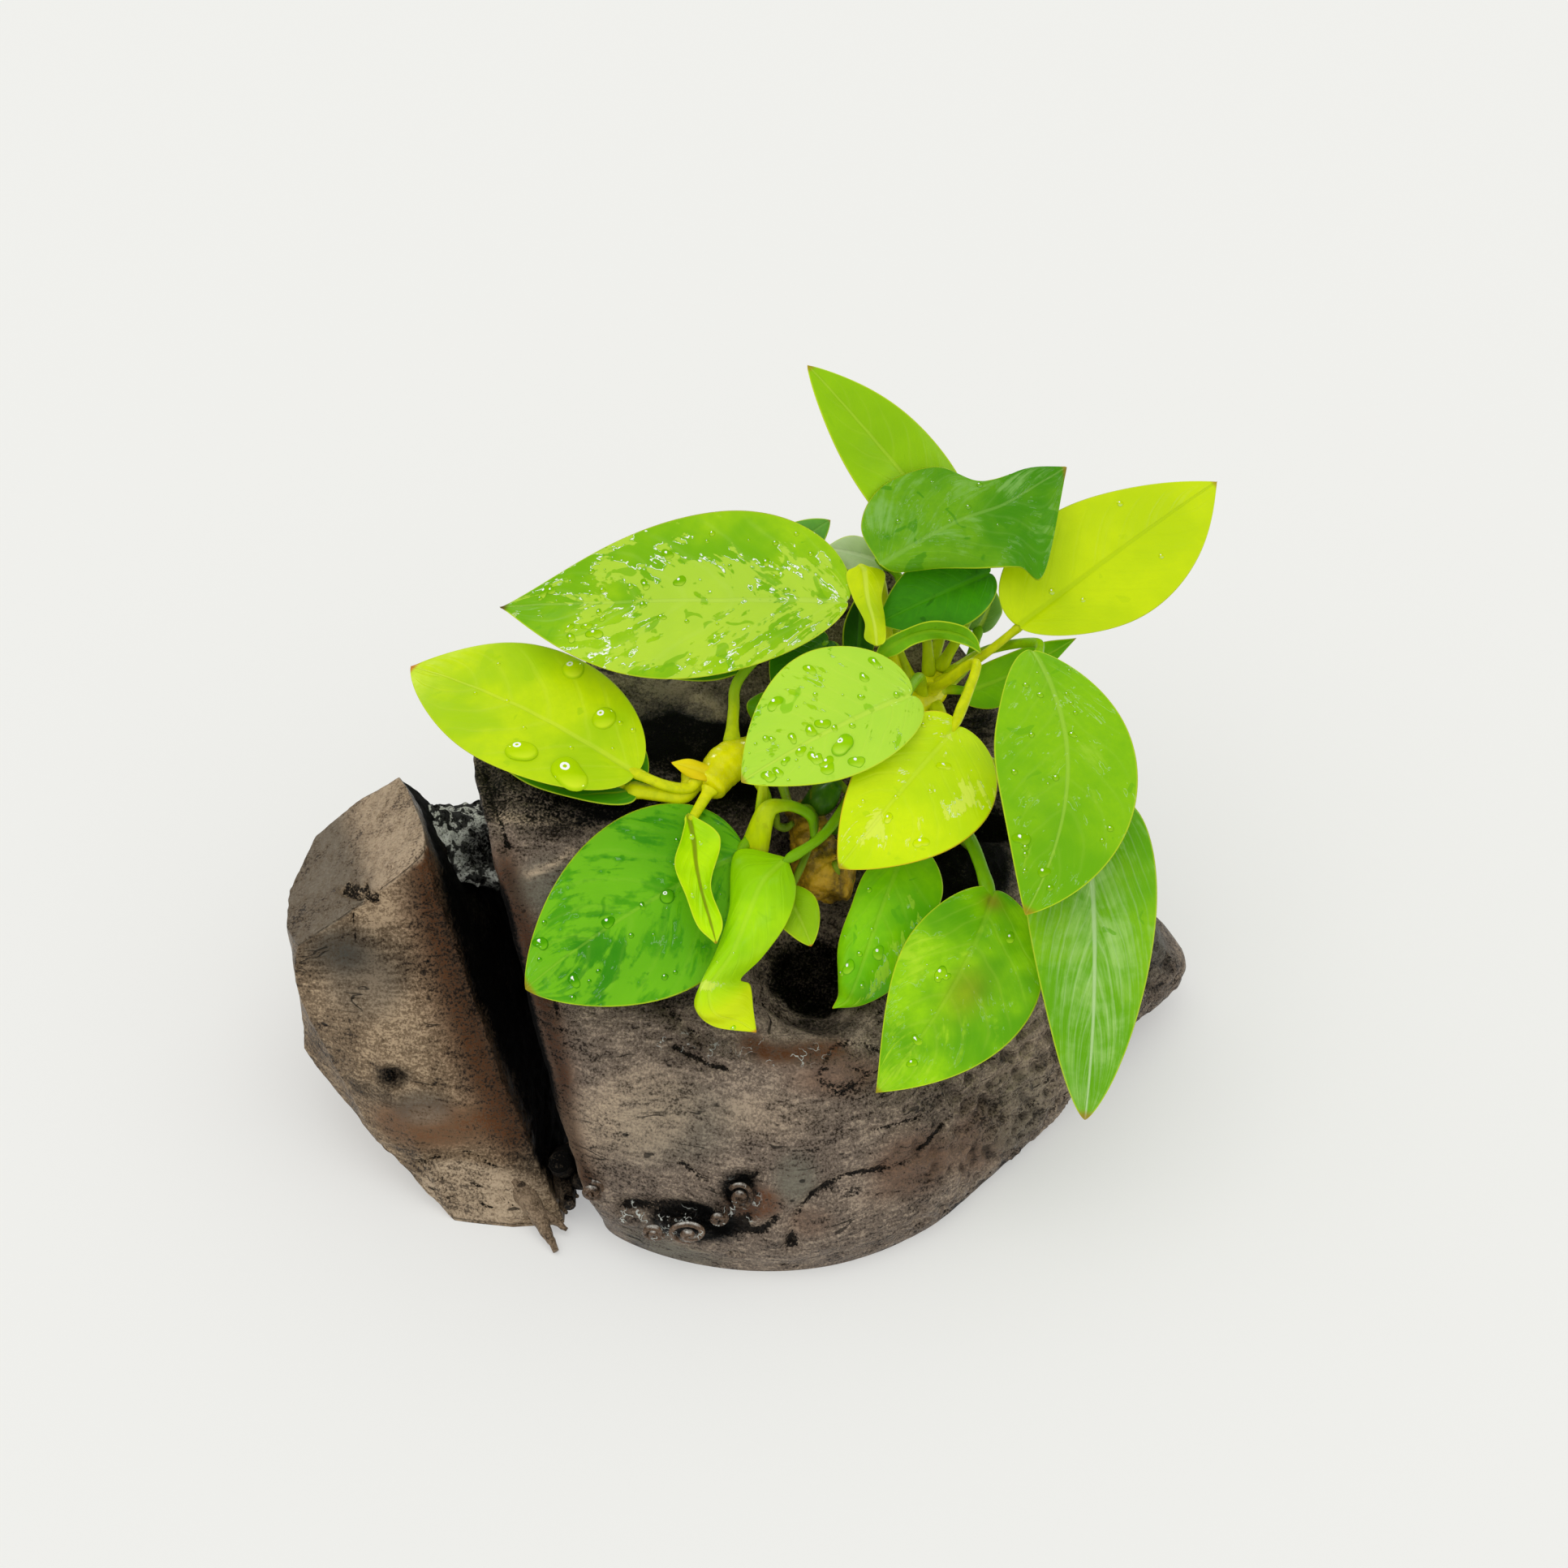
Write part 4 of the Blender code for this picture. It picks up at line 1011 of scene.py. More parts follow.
FORK_MARKS = WoodMarks(
    pale=(
        Spot((-45, -43, 5), (14, 6, 6.5), 0.9, 0.3),
        Spot((-52, -34, 17), (7, 5, 3), 0.35),
        Line(((-54, -39.5, 9.4), (-49, -40.6, 9.3), (-43, -41, 9.2), (-37, -43, 5.4)), 0.7, strength=1.2),
        Line(((-52.5, -41.6, 5), (-47, -42.8, 5.8), (-41, -43.6, 4.4), (-37, -45, 1.6)), 0.7, strength=1.2),
        Spot((-58, 3, 50), (9, 12, 4), 0.6),
        Spot((-64, -24, 34), (9, 8, 12), 0.12),
    ),
    red=(
        Line(FORK_EDGE, 4.5, strength=0.9),
        Spot((-52, -36.5, 15.5), (15, 7, 6), 0.75),
    ),
    # Painted shade in the hole and beside the cleft; darker below the sawn edge.
    dark=(
        Spot((-57.8, -33.5, 23.6), (4.5, 4, 2.6), 0.75),
        Spot((-61, -33, 20), (8, 5, 3), 0.45),
        Spot((-62, -22, 40), (15, 9, 9), 0.5, 0.9),
        Spot((-44, -32.5, 26), (5, 6, 12), 0.35),
    ),
    cool=(
        Spot((-67, -20.3, 41), (9, 7, 6), 0.7, 0.9),
        Spot((-62, -24, 36), (9, 8, 8), 0.35),
        Spot((-53, -36, 19), (7, 5, 4), 0.5),
        Spot((-71, -6, 44), (8, 16, 6), 0.7, 0.9),
    ),
    rough=(Spot((-48, 11, 41), (6, 12, 7), 1.5), Line(FORK_EDGE, 4, strength=1.2)),
    # Painted deep shade in the web and the hole.
    cut=(Spot((-48, 10, 41.5), (6, 11, 6), 0.5, 0.4), Spot((-57.8, -33.5, 23.6), (3.5, 4, 2), 0.4)),
    dents=(Spot((-57.8, -33.5, 23.6), (3.5, 4, 2.5), 0.9, 0.8),),
    cracks=(
        Line(((-66.5, -11, 46), (-63.5, -13.5, 47), (-60.3, -15.4, 47.8)), 0.9, 1.2, 1.3),
        Line(((-62.5, -11, 47.6), (-61.8, -13.6, 47.6), (-59.6, -13.8, 48.6)), 0.5, 0.8, 1.2),
        Line(((-63.7, -15.6, 46.9), (-64, -18, 44.5), (-63.7, -19.6, 42)), 0.45, 0.6),
        Line(((-65.8, -9.6, 46.3), (-62, -13.2, 47.3), (-58.8, -16, 47.6)), 0.8, 0.6, 1.3),
        Line(((-55, -39.8, 8.6), (-49.7, -40.3, 11), (-44.9, -40.2, 11.7), (-40.8, -41.5, 9.9),
              (-36.7, -43.2, 7.2)), 0.5, 0.8),
        Line(((-53, -41, 6.4), (-48, -42, 7.4), (-42, -43, 5.8), (-37, -45, 3)), 0.4, 0.5),
        Line(((-51, -42.5, 3.2), (-46, -43.6, 4.2), (-40, -44.6, 2.4)), 0.4, 0.4),
        Line(((-50, -20, 42), (-54, -24, 36), (-59, -27, 34)), 0.4, 0.3),
    ),
)


@dataclass(frozen=True)
class Trunk(Driftwood):
    """The rounded trunk: side profiles round a middle, under a sheet through named spot heights."""

    cleft: Cleft
    marks: WoodMarks = TRUNK_MARKS
    centre: tuple[float, float] = (14.0, -2.0)
    front_columns: int = 270
    rear_columns: int = 130
    side_rows: int = 110
    top_rows: int = 120
    # How far from the cleft's wall its painted shade reaches, in millimetres.
    wall_dark: float = 3.2
    lumps: float = 0.45
    strata: float = 0.16
    ridges: float = 0.7
    crease_depth: float = 0.45
    seed: int = 3
    crease_seed: int = 6

    def rings(self) -> tuple[Array, Array, Array]:
        """Return rings from the foot to the middle of the top.

        Returns:
            The rings, and the two points that close them.
        """
        centre = np.array(self.centre)
        front = np.linspace(-175.0, 15.0, self.front_columns, endpoint=False)
        rear = np.linspace(15.0, 185.0, self.rear_columns, endpoint=False)
        angles = np.mod(np.concatenate([front, rear]), 360.0)
        top, shoulder, shoulder_z, belly, belly_z, foot = around(np.array(TRUNK_SIDE, float), angles).T
        out = np.column_stack([np.cos(np.radians(angles)), np.sin(np.radians(angles))])
        sheet = SpotSheet(TRUNK_TOP_SPOTS)
        edge = centre + out * top[:, None]
        levels = np.stack([
            np.column_stack([foot, np.zeros_like(foot)]), np.column_stack([belly, belly_z]),
            np.column_stack([shoulder, shoulder_z]),
            np.column_stack([top, sheet.height(edge[:, 0], edge[:, 1])]),
        ])
        profile = curve_through(levels, self.side_rows)
        side = np.dstack([centre[0] + profile[..., 0] * out[:, 0], centre[1] + profile[..., 0] * out[:, 1],
                          np.maximum(profile[..., 1], 0.0)])
        shares = np.linspace(1.0, 0.0, self.top_rows)[1:-1, None, None]
        plan = centre + shares * (edge - centre)[None]
        rings = np.concatenate([side, np.dstack([plan, sheet.height(plan[..., 0], plan[..., 1])])])
        rings[..., 0] = self.cleft.soft_floor(rings[..., 0], self.cleft.trunk_x(rings[..., 1], rings[..., 2]))
        return rings, np.array([*centre, 0.0]), np.array([*centre, float(sheet.height(*centre))])

    def wear(self, points: Array) -> Array:
        """Return broad lumps, grain that runs round the chunk, bark on the right and a rough top.

        Args:
            points: where to read it.

        Returns:
            The height at each point.
        """
        noise = Noise(self.seed)
        lumps = self.lumps * noise.layered(points / 13.0, 2)
        warp = 2.2 * noise.smooth(points / 17.0 + 5.0)
        grain = points * np.array([0.11, 0.11, 0.55])
        grain[..., 2] += warp
        strata = self.strata * noise.layered(grain, 3)
        return (lumps + strata + self.ridges * self.bark(points) + self.marks.coarse(points, noise)
                - self.crease_depth * self.creases(points))

    def bark(self, points: Array) -> Array:
        """Return slanted bark ridges on the right, 1 on a ridge and less than 0 between two."""
        slanted = points @ np.array([[0.12, 0.0, 0.45], [0.05, 0.25, 0.0], [-0.35, 0.0, 0.3]])
        ridges = 1 - 2 * np.abs(Noise(self.seed).layered(slanted, 2))
        return ridges * smooth_step(8.0, 45.0, points[..., 0]) * smooth_step(20.0, -10.0, points[..., 1])

    def creases(self, points: Array) -> Array:
        """Return 1 in the narrow creases that run round the chunk: a noise's zero lines, broken up."""
        noise = Noise(self.crease_seed)
        grain = noise.layered(points * np.array([0.06, 0.06, 0.26]) + 3.0, 2)
        broken = smooth_step(0.0, 0.35, noise.smooth(points / 8.0))
        return np.exp(-(grain / 0.16) ** 2) * broken * smooth_step(-22.0, 10.0, points[..., 0])

    def shell(self) -> Shell:
        """Add painted shade to the worn shell: on the cleft's wall, in creases and in the bark's hollows.

        Returns:
            The worn surface with its marks.
        """
        made = super().shell()
        x, y, z = np.moveaxis(made.rings, -1, 0)
        wall = x - self.cleft.trunk_x(y, z)
        # Painted shade on the cleft's wall, fading away from it, then in the creases and the bark's hollows.
        painted_black_shade = (1 - smooth_step(1.0, self.wall_dark, wall)) * smooth_step(-48.0, -36.0, y)
        painted_black_shade = painted_black_shade * (1 - smooth_step(50.0, 56.0, z))
        made.marks["cut"] = np.maximum(made.marks["cut"], 0.45 * self.creases(made.rings))
        valley_shade = 0.6 * smooth_step(0.25, -0.45, self.bark(made.rings)) * smooth_step(20.0, 45.0, x)
        painted_black_shade = np.maximum(painted_black_shade, valley_shade)
        made.marks["dark"] = np.maximum(made.marks["dark"], painted_black_shade * (1 - made.marks["pale"]))
        return made


@dataclass(frozen=True)
class Fork(Driftwood):
    """The left fork: a leaning slab with a sawn top, between three matching outlines."""

    cleft: Cleft
    marks: WoodMarks = FORK_MARKS
    corner: tuple[float, float] = (-51.5, 52.0)
    tilt: float = 0.42
    undercut_x: float = -48.0
    undercut_slope: float = 0.72
    columns: int = 300
    side_rows: int = 130
    cap_rows: int = 40
    edge: float = 0.004
    facets: float = 0.85
    lumps: float = 0.4
    upright_grain: float = 0.18
    foot_strata: float = 0.25
    sawn_grain: float = 0.12
    seed: int = 8

    def low_z(self, x: Array) -> Array:
        """Return the height of the underside, which is undercut on the left."""
        return np.maximum(0.0, self.undercut_slope * (self.undercut_x - x))

    def high_z(self, x: Array) -> Array:
        """Return the height of the sawn top, a plane square to the leaning slab."""
        return self.corner[1] + self.tilt * (x - self.corner[0])

    def outline(self, points: tuple) -> Array:
        """Return an outline between the smooth curve and the straight lines through its points.

        Args:
            points: its corners.

        Returns:
            Evenly spread points on it.
        """
        corner = np.arange(self.columns) * len(points) / self.columns
        closed = np.array([*points, points[0]], float)
        straight = np.column_stack([np.interp(corner, np.arange(len(closed)), side) for side in closed.T])
        return round_curve(points, self.columns) * (1 - self.facets) + straight * self.facets

    def levels(self) -> Array:
        """Return the rows' levels from foot to top, with extra rows close to both edges."""
        inner = np.linspace(0.0, 1.0, self.side_rows)[1:-1]
        close = np.array([0.0, self.edge, 2 * self.edge])
        return np.concatenate([close, inner, 1 - close[::-1]])

    def rings(self) -> tuple[Array, Array, Array]:
        """Return rings from the middle of the underside to the middle of the sawn top.

        Returns:
            The rings, and the two points that close them.
        """
        outlines = np.array([self.outline(points) for points in (FORK_FOOT, FORK_MIDDLE, FORK_TOP)])
        middles = outlines.mean(axis=1)
        levels = self.levels()[:, None, None]
        sides = ((1 - levels) * (1 - 2 * levels) * outlines[0] + 4 * levels * (1 - levels) * outlines[1]
                 + levels * (2 * levels - 1) * outlines[2])
        shares = np.linspace(0.0, 1.0, self.cap_rows)[1:-1]
        shares = np.concatenate([shares, [0.985, 0.995]])[:, None, None]
        lower = middles[0] + shares * (outlines[0] - middles[0])
        upper = (middles[2] + shares * (outlines[2] - middles[2]))[::-1]
        plan = np.concatenate([lower, sides, upper])
        level = np.concatenate([np.zeros(len(lower)), self.levels(), np.ones(len(upper))])[:, None]
        x, y = plan[..., 0], plan[..., 1]
        for _ in range(4):
            z = self.low_z(x) + level * (self.high_z(x) - self.low_z(x))
            x = -self.cleft.soft_floor(-plan[..., 0], -self.cleft.fork_x(y, z))
        z = self.low_z(x) + level * (self.high_z(x) - self.low_z(x))
        base = np.array([*middles[0], float(self.low_z(middles[0][0]))])
        crown = np.array([*middles[2], float(self.high_z(middles[2][0]))])
        return np.dstack([x, y, z]), base, crown

    def wear(self, points: Array) -> Array:
        """Return broad facets, fine upright grain and a granular sawn top.

        Args:
            points: where to read it.

        Returns:
            The height at each point.
        """
        noise = Noise(self.seed)
        lumps = self.lumps * noise.layered(points / 12.0, 2)
        grain = points @ np.array([[0.5, 0.0, 0.14], [0.0, 0.5, 0.0], [-0.14, 0.0, 0.16]])
        worn = smooth_step(22.0, 6.0, points[..., 2])
        strata = points * np.array([0.12, 0.12, 0.9])
        top = smooth_step(-1.2, -0.2, points[..., 2] - self.high_z(points[..., 0]))
        body = (lumps + self.upright_grain * noise.layered(grain, 3)
                + self.foot_strata * worn * noise.layered(strata, 3))
        return ((body + self.marks.coarse(points, noise)) * (1 - top)
                + self.sawn_grain * top * noise.layered(points / 1.2, 2))

    def shell(self) -> Shell:
        """Add the tan of the sawn top and painted deep shade on the cleft's wall to the worn shell.

        Returns:
            The worn surface with its marks.
        """
        made = super().shell()
        x, y, z = np.moveaxis(made.rings, -1, 0)
        top = smooth_step(-0.9, -0.3, z - self.high_z(x))
        wall = self.cleft.fork_x(y, z) - x
        # Painted shade on the fork's wall at the cleft, fading away from it.
        painted_black_shade = (1 - smooth_step(1.0, 9.5, wall)) * (1 - top) * smooth_step(-46.0, -38.0, y)
        painted_black_shade = painted_black_shade * (1 - smooth_step(46.0, 52.0, z) * 0.6)
        marks = made.marks
        marks["sawn"] = top
        marks["dark"] = np.maximum(marks["dark"] * (1 - top), painted_black_shade * (1 - 0.6 * marks["red"]))
        marks["dark"] = marks["dark"] * (1 - 0.9 * marks["pale"])
        left = smooth_step(-61.0, -68.0, x + 0.3 * y)
        marks["pale"] = np.maximum(marks["pale"], (0.7 - 0.6 * left) * top)
        marks["cool"] = np.maximum(marks["cool"] * (1 - top), 0.6 * left * top)
        marks["red"] = marks["red"] * (1 - top) + 0.35 * top * (1 - left)
        return made


@dataclass(frozen=True)
class Web(Driftwood):
    """The rough bridge of wood that shows behind the cleft, between fork and trunk."""

    path: tuple = ((-58, 8.5, 37), (-52, 9, 37), (-46, 10, 36.4), (-38, 11, 36))
    radius: float = 4.8
    depth: float = 1.9
    samples: int = 90
    sides: int = 110
    lumps: float = 0.5
    seed: int = 14
    crumb_seed: int = 15
    marks: WoodMarks = WoodMarks(
        pale=(Spot((-50, 14, 37), (60, 60, 60), 1.0),),
        rough=(Spot((-50, 14, 37), (60, 60, 60), 2.5),),
        # Painted shade on the bridge's front and below it.
        dark=(Spot((-44, 4, 41), (6, 9, 5), 0.9), Spot((-47, 4, 31), (16, 12, 6), 1.0)),
    )

    def rings(self) -> tuple[Array, Array, Array]:
        """Return rings along the bridge and its two ends, which lie inside fork and trunk."""
        path = curve_through(self.path, self.samples)
        made = tube(path, np.full(self.samples, self.radius), self.sides)
        middles = path[:, None]
        return middles + (made.rings - middles) * np.array([1, self.depth, 1]), path[0], path[-1]

    def wear(self, points: Array) -> Array:
        """Return the lumps of torn, weathered wood."""
        noise = Noise(self.seed)
        return self.marks.coarse(points, noise) + self.lumps * noise.layered(points / 6.0, 2)

    def shell(self) -> Shell:
        """Break the bridge up into light crumbs and hollows painted in deep shade."""
        made = super().shell()
        crumbs = Noise(self.crumb_seed).layered(made.rings / 1.7, 2)
        made.marks["cut"] = smooth_step(0.22, -0.3, crumbs)
        made.marks["dark"] = np.maximum(made.marks["dark"], smooth_step(0.1, -0.6, crumbs))
        return made


@dataclass(frozen=True)
class Splinters:
    """Torn splinters at the foot of the fork and at the bottom of the cleft, thin crooked cones."""

    rows: int = 24
    sides: int = 10
    crook: float = 0.5
    ribs: float = 0.18
    seed: int = 21
    # Start, end, start radius, end radius and painted shade of the splinters in the cleft, deepest at its
    # bottom.
    torn: tuple = (
        ((-31, -30, 0.5), (-28, -37, 6), 1.3, 0.3, 0.5),
        ((-29, -28, 0.5), (-25.5, -38, 3.5), 1.2, 0.3, 0.5),
        ((-30, -36, 0.5), (-27, -43, 4.5), 1.0, 0.3, 0.5),
        ((-33, -38, 0.5), (-29, -45, 2.5), 0.9, 0.3, 0.5),
        ((-29, -34, 2.5), (-29.5, -43, 13), 3.6, 1.8, 0.95),
        ((-27.5, -36, 2.5), (-25.5, -45, 10), 2.6, 1.3, 0.9),
        ((-30.5, -36, 2.5), (-28, -46.5, 6), 2.6, 1.0, 0.8),
    )

    def shells(self) -> list[Shell]:
        """Return one crooked, ribbed cone for each splinter.

        Returns:
            The cones.
        """
        noise = Noise(self.seed)
        made = []
        for start, end, thick, thin, dark in (*SPLINTERS, *self.torn):
            path = curve_through((start, end), self.rows)
            bent = np.stack([noise.smooth(path / 5.0 + k) for k in (0.0, 9.0, 17.0)], axis=-1)
            path = path + self.crook * smooth_step(0.1, 1.0, np.linspace(0, 1, self.rows))[:, None] * bent
            shell = tube(path, np.linspace(thick, thin, self.rows), self.sides)
            shell.rings += self.ribs * ring_normals(shell.rings) * noise.smooth(shell.rings / 0.9)[..., None]
            shell.marks = {name: np.full(shell.rings.shape[:2], level) for name, level in
                           (("pale", 0.35), ("red", 0.3), ("dark", dark), ("cut", 0.2))}
            shell.rings[..., 2] = np.maximum(shell.rings[..., 2], 0.05)
            made.append(shell)
        return made


@dataclass(frozen=True)
class Whorls:
    """Rolled knots of glossy wood low on the trunk's front: flat spirals that stand on the wall."""

    turns: float = 1.7
    samples: int = 70
    sides: int = 10
    thick: float = 0.75
    thin: float = 0.4
    doming: float = 0.25

    def shells(self) -> list[Shell]:
        """Return one spiral for each knot: its radius grows evenly with its angle.

        Returns:
            The spirals.
        """
        made = []
        share = np.linspace(0.0, 1.0, self.samples)
        for centre, wide, high, start in WHORLS:
            turn = math.radians(start) + 2 * math.pi * self.turns * share
            path = np.array(centre) + np.column_stack([
                wide * share * np.cos(turn), -self.doming * (1 - share) * wide, high * share * np.sin(turn)])
            shell = tube(path, np.linspace(self.thick, self.thin, self.samples), self.sides)
            upward = ring_normals(shell.rings)[..., 2]
            flat = np.ones_like(upward)
            # The wet mark brings painted highlights, and the mark along each spiral's upper side paints a
            # highlight there.
            shell.marks = {"wet": flat, "red": 0.3 * flat, "pale": smooth_step(0.7, 0.95, upward)}
            made.append(shell)
        return made


def joined(name: str, meshes: list[Mesh]) -> Mesh:
    """Join several meshes into one, through spare objects that are removed again.

    Args:
        name: a name for the spare objects.
        meshes: the meshes to join.

    Returns:
        The first mesh, which holds them all.
    """
    spare = [into_scene(name, mesh) for mesh in meshes]
    bpy.context.view_layer.update()
    with bpy.context.temp_override(active_object=spare[0], selected_editable_objects=spare):
        bpy.ops.object.join()
    mesh = spare[0].data
    bpy.data.objects.remove(spare[0])
    return mesh


@dataclass(frozen=True)
class Drop:
    """A bead of wet on a blade: where it sits across (-1 to 1) and along (0 to 1), its radius and height.

    stretch is how much longer than wide it is, and ragged how far its outline wavers.
    """

    across: float
    along: float
    radius: float
    height: float
    stretch: float = 1.1
    ragged: float = 0.06


@dataclass(frozen=True)
class Stain:
    """A soft patch on a blade: where it sits across and along, its half sizes there, and its strength."""

    across: float
    along: float
    wide: float
    long: float
    strength: float = 1.0

    def share(self, across: Array, along: Array) -> Array:
        """Return the strength, which falls as a bell exp(-(u^2 + v^2))."""
        u = (across - self.across) / self.wide
        v = (along - self.along) / self.long
        return self.strength * np.exp(-(u ** 2 + v ** 2))


@dataclass(frozen=True)
class LeafLook:
    """The finish of one leaf, as written sRGB colours and shares from 0 to 1.

    veins is how far the side veins stand out, pairs how many there are, sweep how far they run forward.
    wet is how much of the blade a wet film covers, and the film's pale colour is a painted sheen; soft is how
    soft the film's edge is, blotch how much of it shows through darker. beads counts the small beads, and
    ragged_beads the flat ones with a ragged outline.
    stalk names the stalk's finish where it isn't the usual one.
    """

    slot: Slot
    upper: str
    shade: str
    vein: str = "#d8ea5a"
    margin: str = "#cfe22a"
    under: str = "#b9dc4a"
    # The pale colour of the wet film, a painted sheen.
    film: str = "#c9e48c"
    stain: str = "#6a6a10"
    tip: str = "#a8641a"
    veins: float = 0.1
    midrib: float = 0.5
    pairs: float = 8.0
    sweep: float = 0.3
    wet: float = 0.0
    soft: float = 0.03
    blotch: float = 0.3
    painted_glints: float = 0.3
    tip_dot: float = 0.6
    stains: tuple[Stain, ...] = ()
    films: tuple[Stain, ...] = ()
    drops: tuple[Drop, ...] = ()
    beads: int = 0
    ragged_beads: int = 0
    stalk: str = ""


class Blade(ABC):
    """A leaf blade: a surface of across (-1 to 1) and along (0 to 1), and the stalk's data."""

    station: float
    via: tuple
    stalk: float

    @abstractmethod
    def sheet(self, rows: int, across: Array) -> tuple[Array, Array]:
        """Return the middle surface as points[row, column] and its upward normals.

        Args:
            rows: how many rows run from base to tip.
            across: the columns' places, -1 to 1.

        Returns:
            The points and the normals.
        """


@dataclass(frozen=True)
class FlatBlade(Blade):
    """A blade given by its midrib and width, in millimetres and degrees, as the solid's is.

    The half width follows t^a (1 - t)^b, which is round at the base and pointed at the tip.
    """

    base: tuple
    tip: tuple
    face: tuple
    width: float
    station: float
    via: tuple = ()
    bow: float = 1.0
    sweep: float = 0.0
    fold: float = 8.0
    wave: float = 0.4
    belly: float = 0.40
    skew: float = 0.0
    slant: float = 0.0
    point: float = 0.85
    lobe: float = 2.0
    stalk: float = 0.9
    fused: bool = False
    curl: float = 0.5
    waves: float = 1.5

    def sheet(self, rows: int, across: Array) -> tuple[Array, Array]:
        """Return the middle surface: midrib + right * half width * across + normal * rise.

        Args:
            rows: how many rows run from base to tip.
            across: the columns' places, -1 to 1.

        Returns:
            The points and the normals.
        """
        base, tip = np.array(self.base, float), np.array(self.tip, float)
        run = tip - base
        along = unit(run)
        face = np.array(self.face, float)
        normal = unit(face - along * np.dot(face, along))
        right = np.cross(along, normal)
        t = (1 - np.cos(np.linspace(0.0, math.pi, rows))) / 2
        hump = (4 * t * (1 - t))[:, None]
        points = base + t[:, None] * run + normal * self.bow * hump + right * self.sweep * hump
        tangents = unit(np.gradient(points, t, axis=0))
        normals = unit(normal - tangents * (tangents @ normal)[:, None])
        rights = np.cross(tangents, normals)
        sign = np.sign(across)[None]
        belly = self.belly + self.slant * sign
        length = t[:, None]
        base_power = self.point * belly / (1 - belly)
        swell = (length / belly) ** base_power * ((1 - length) / (1 - belly)) ** self.point
        half = self.width / 2 * swell * (1 + self.skew * sign)
        fold = math.radians(self.fold)
        rise = (half * np.sqrt(across ** 2 + 0.01)[None] * math.sin(fold)
                - self.curl * (across ** 4)[None] * swell)
        ripple = self.wave * np.sin(2 * math.pi * self.waves * length + 1.2 * sign)
        rise = rise + ripple * (across ** 2)[None] * np.sqrt(swell)
        back = self.lobe * np.abs(across)[None] * np.clip(1 - length / 0.3, 0, 1) ** 2 * np.sqrt(swell)
        sheet = (points[:, None] + rights[:, None] * (half * across * math.cos(fold))[..., None]
                 + normals[:, None] * rise[..., None] - tangents[:, None] * back[..., None])
        return sheet, np.repeat(normals[:, None], len(across), axis=1)


@dataclass(frozen=True)
class DrapedBlade(Blade):
    """A blade that folds or twists, given by ribs: left margin, midrib and right margin, base to tip.

    The first and the last rib are single points.
    """

    ribs: tuple
    station: float
    via: tuple = ()
    stalk: float = 0.9
    fused: bool = False

    def sheet(self, rows: int, across: Array) -> tuple[Array, Array]:
        """Return the middle surface: each rib is a parabola through its three points.

        Args:
            rows: how many rows run from base to tip.
            across: the columns' places, -1 to 1.

        Returns:
            The points and the normals.
        """
        first, *inner, last = self.ribs
        ribs = np.array([(first,) * 3, *inner, (last,) * 3], float)
        left, middle, right = (curve_through(ribs[:, k], rows)[:, None] for k in range(3))
        u = across[None, :, None]
        sheet = left * u * (u - 1) / 2 + middle * (1 - u ** 2) + right * u * (u + 1) / 2
        normals = np.cross(np.gradient(sheet, axis=1), np.gradient(sheet, axis=0))
        normals[0], normals[-1] = normals[1], normals[-2]
        upwards = 1.0 if normals[..., 2].mean() > 0 else -1.0
        return sheet, unit(normals) * upwards


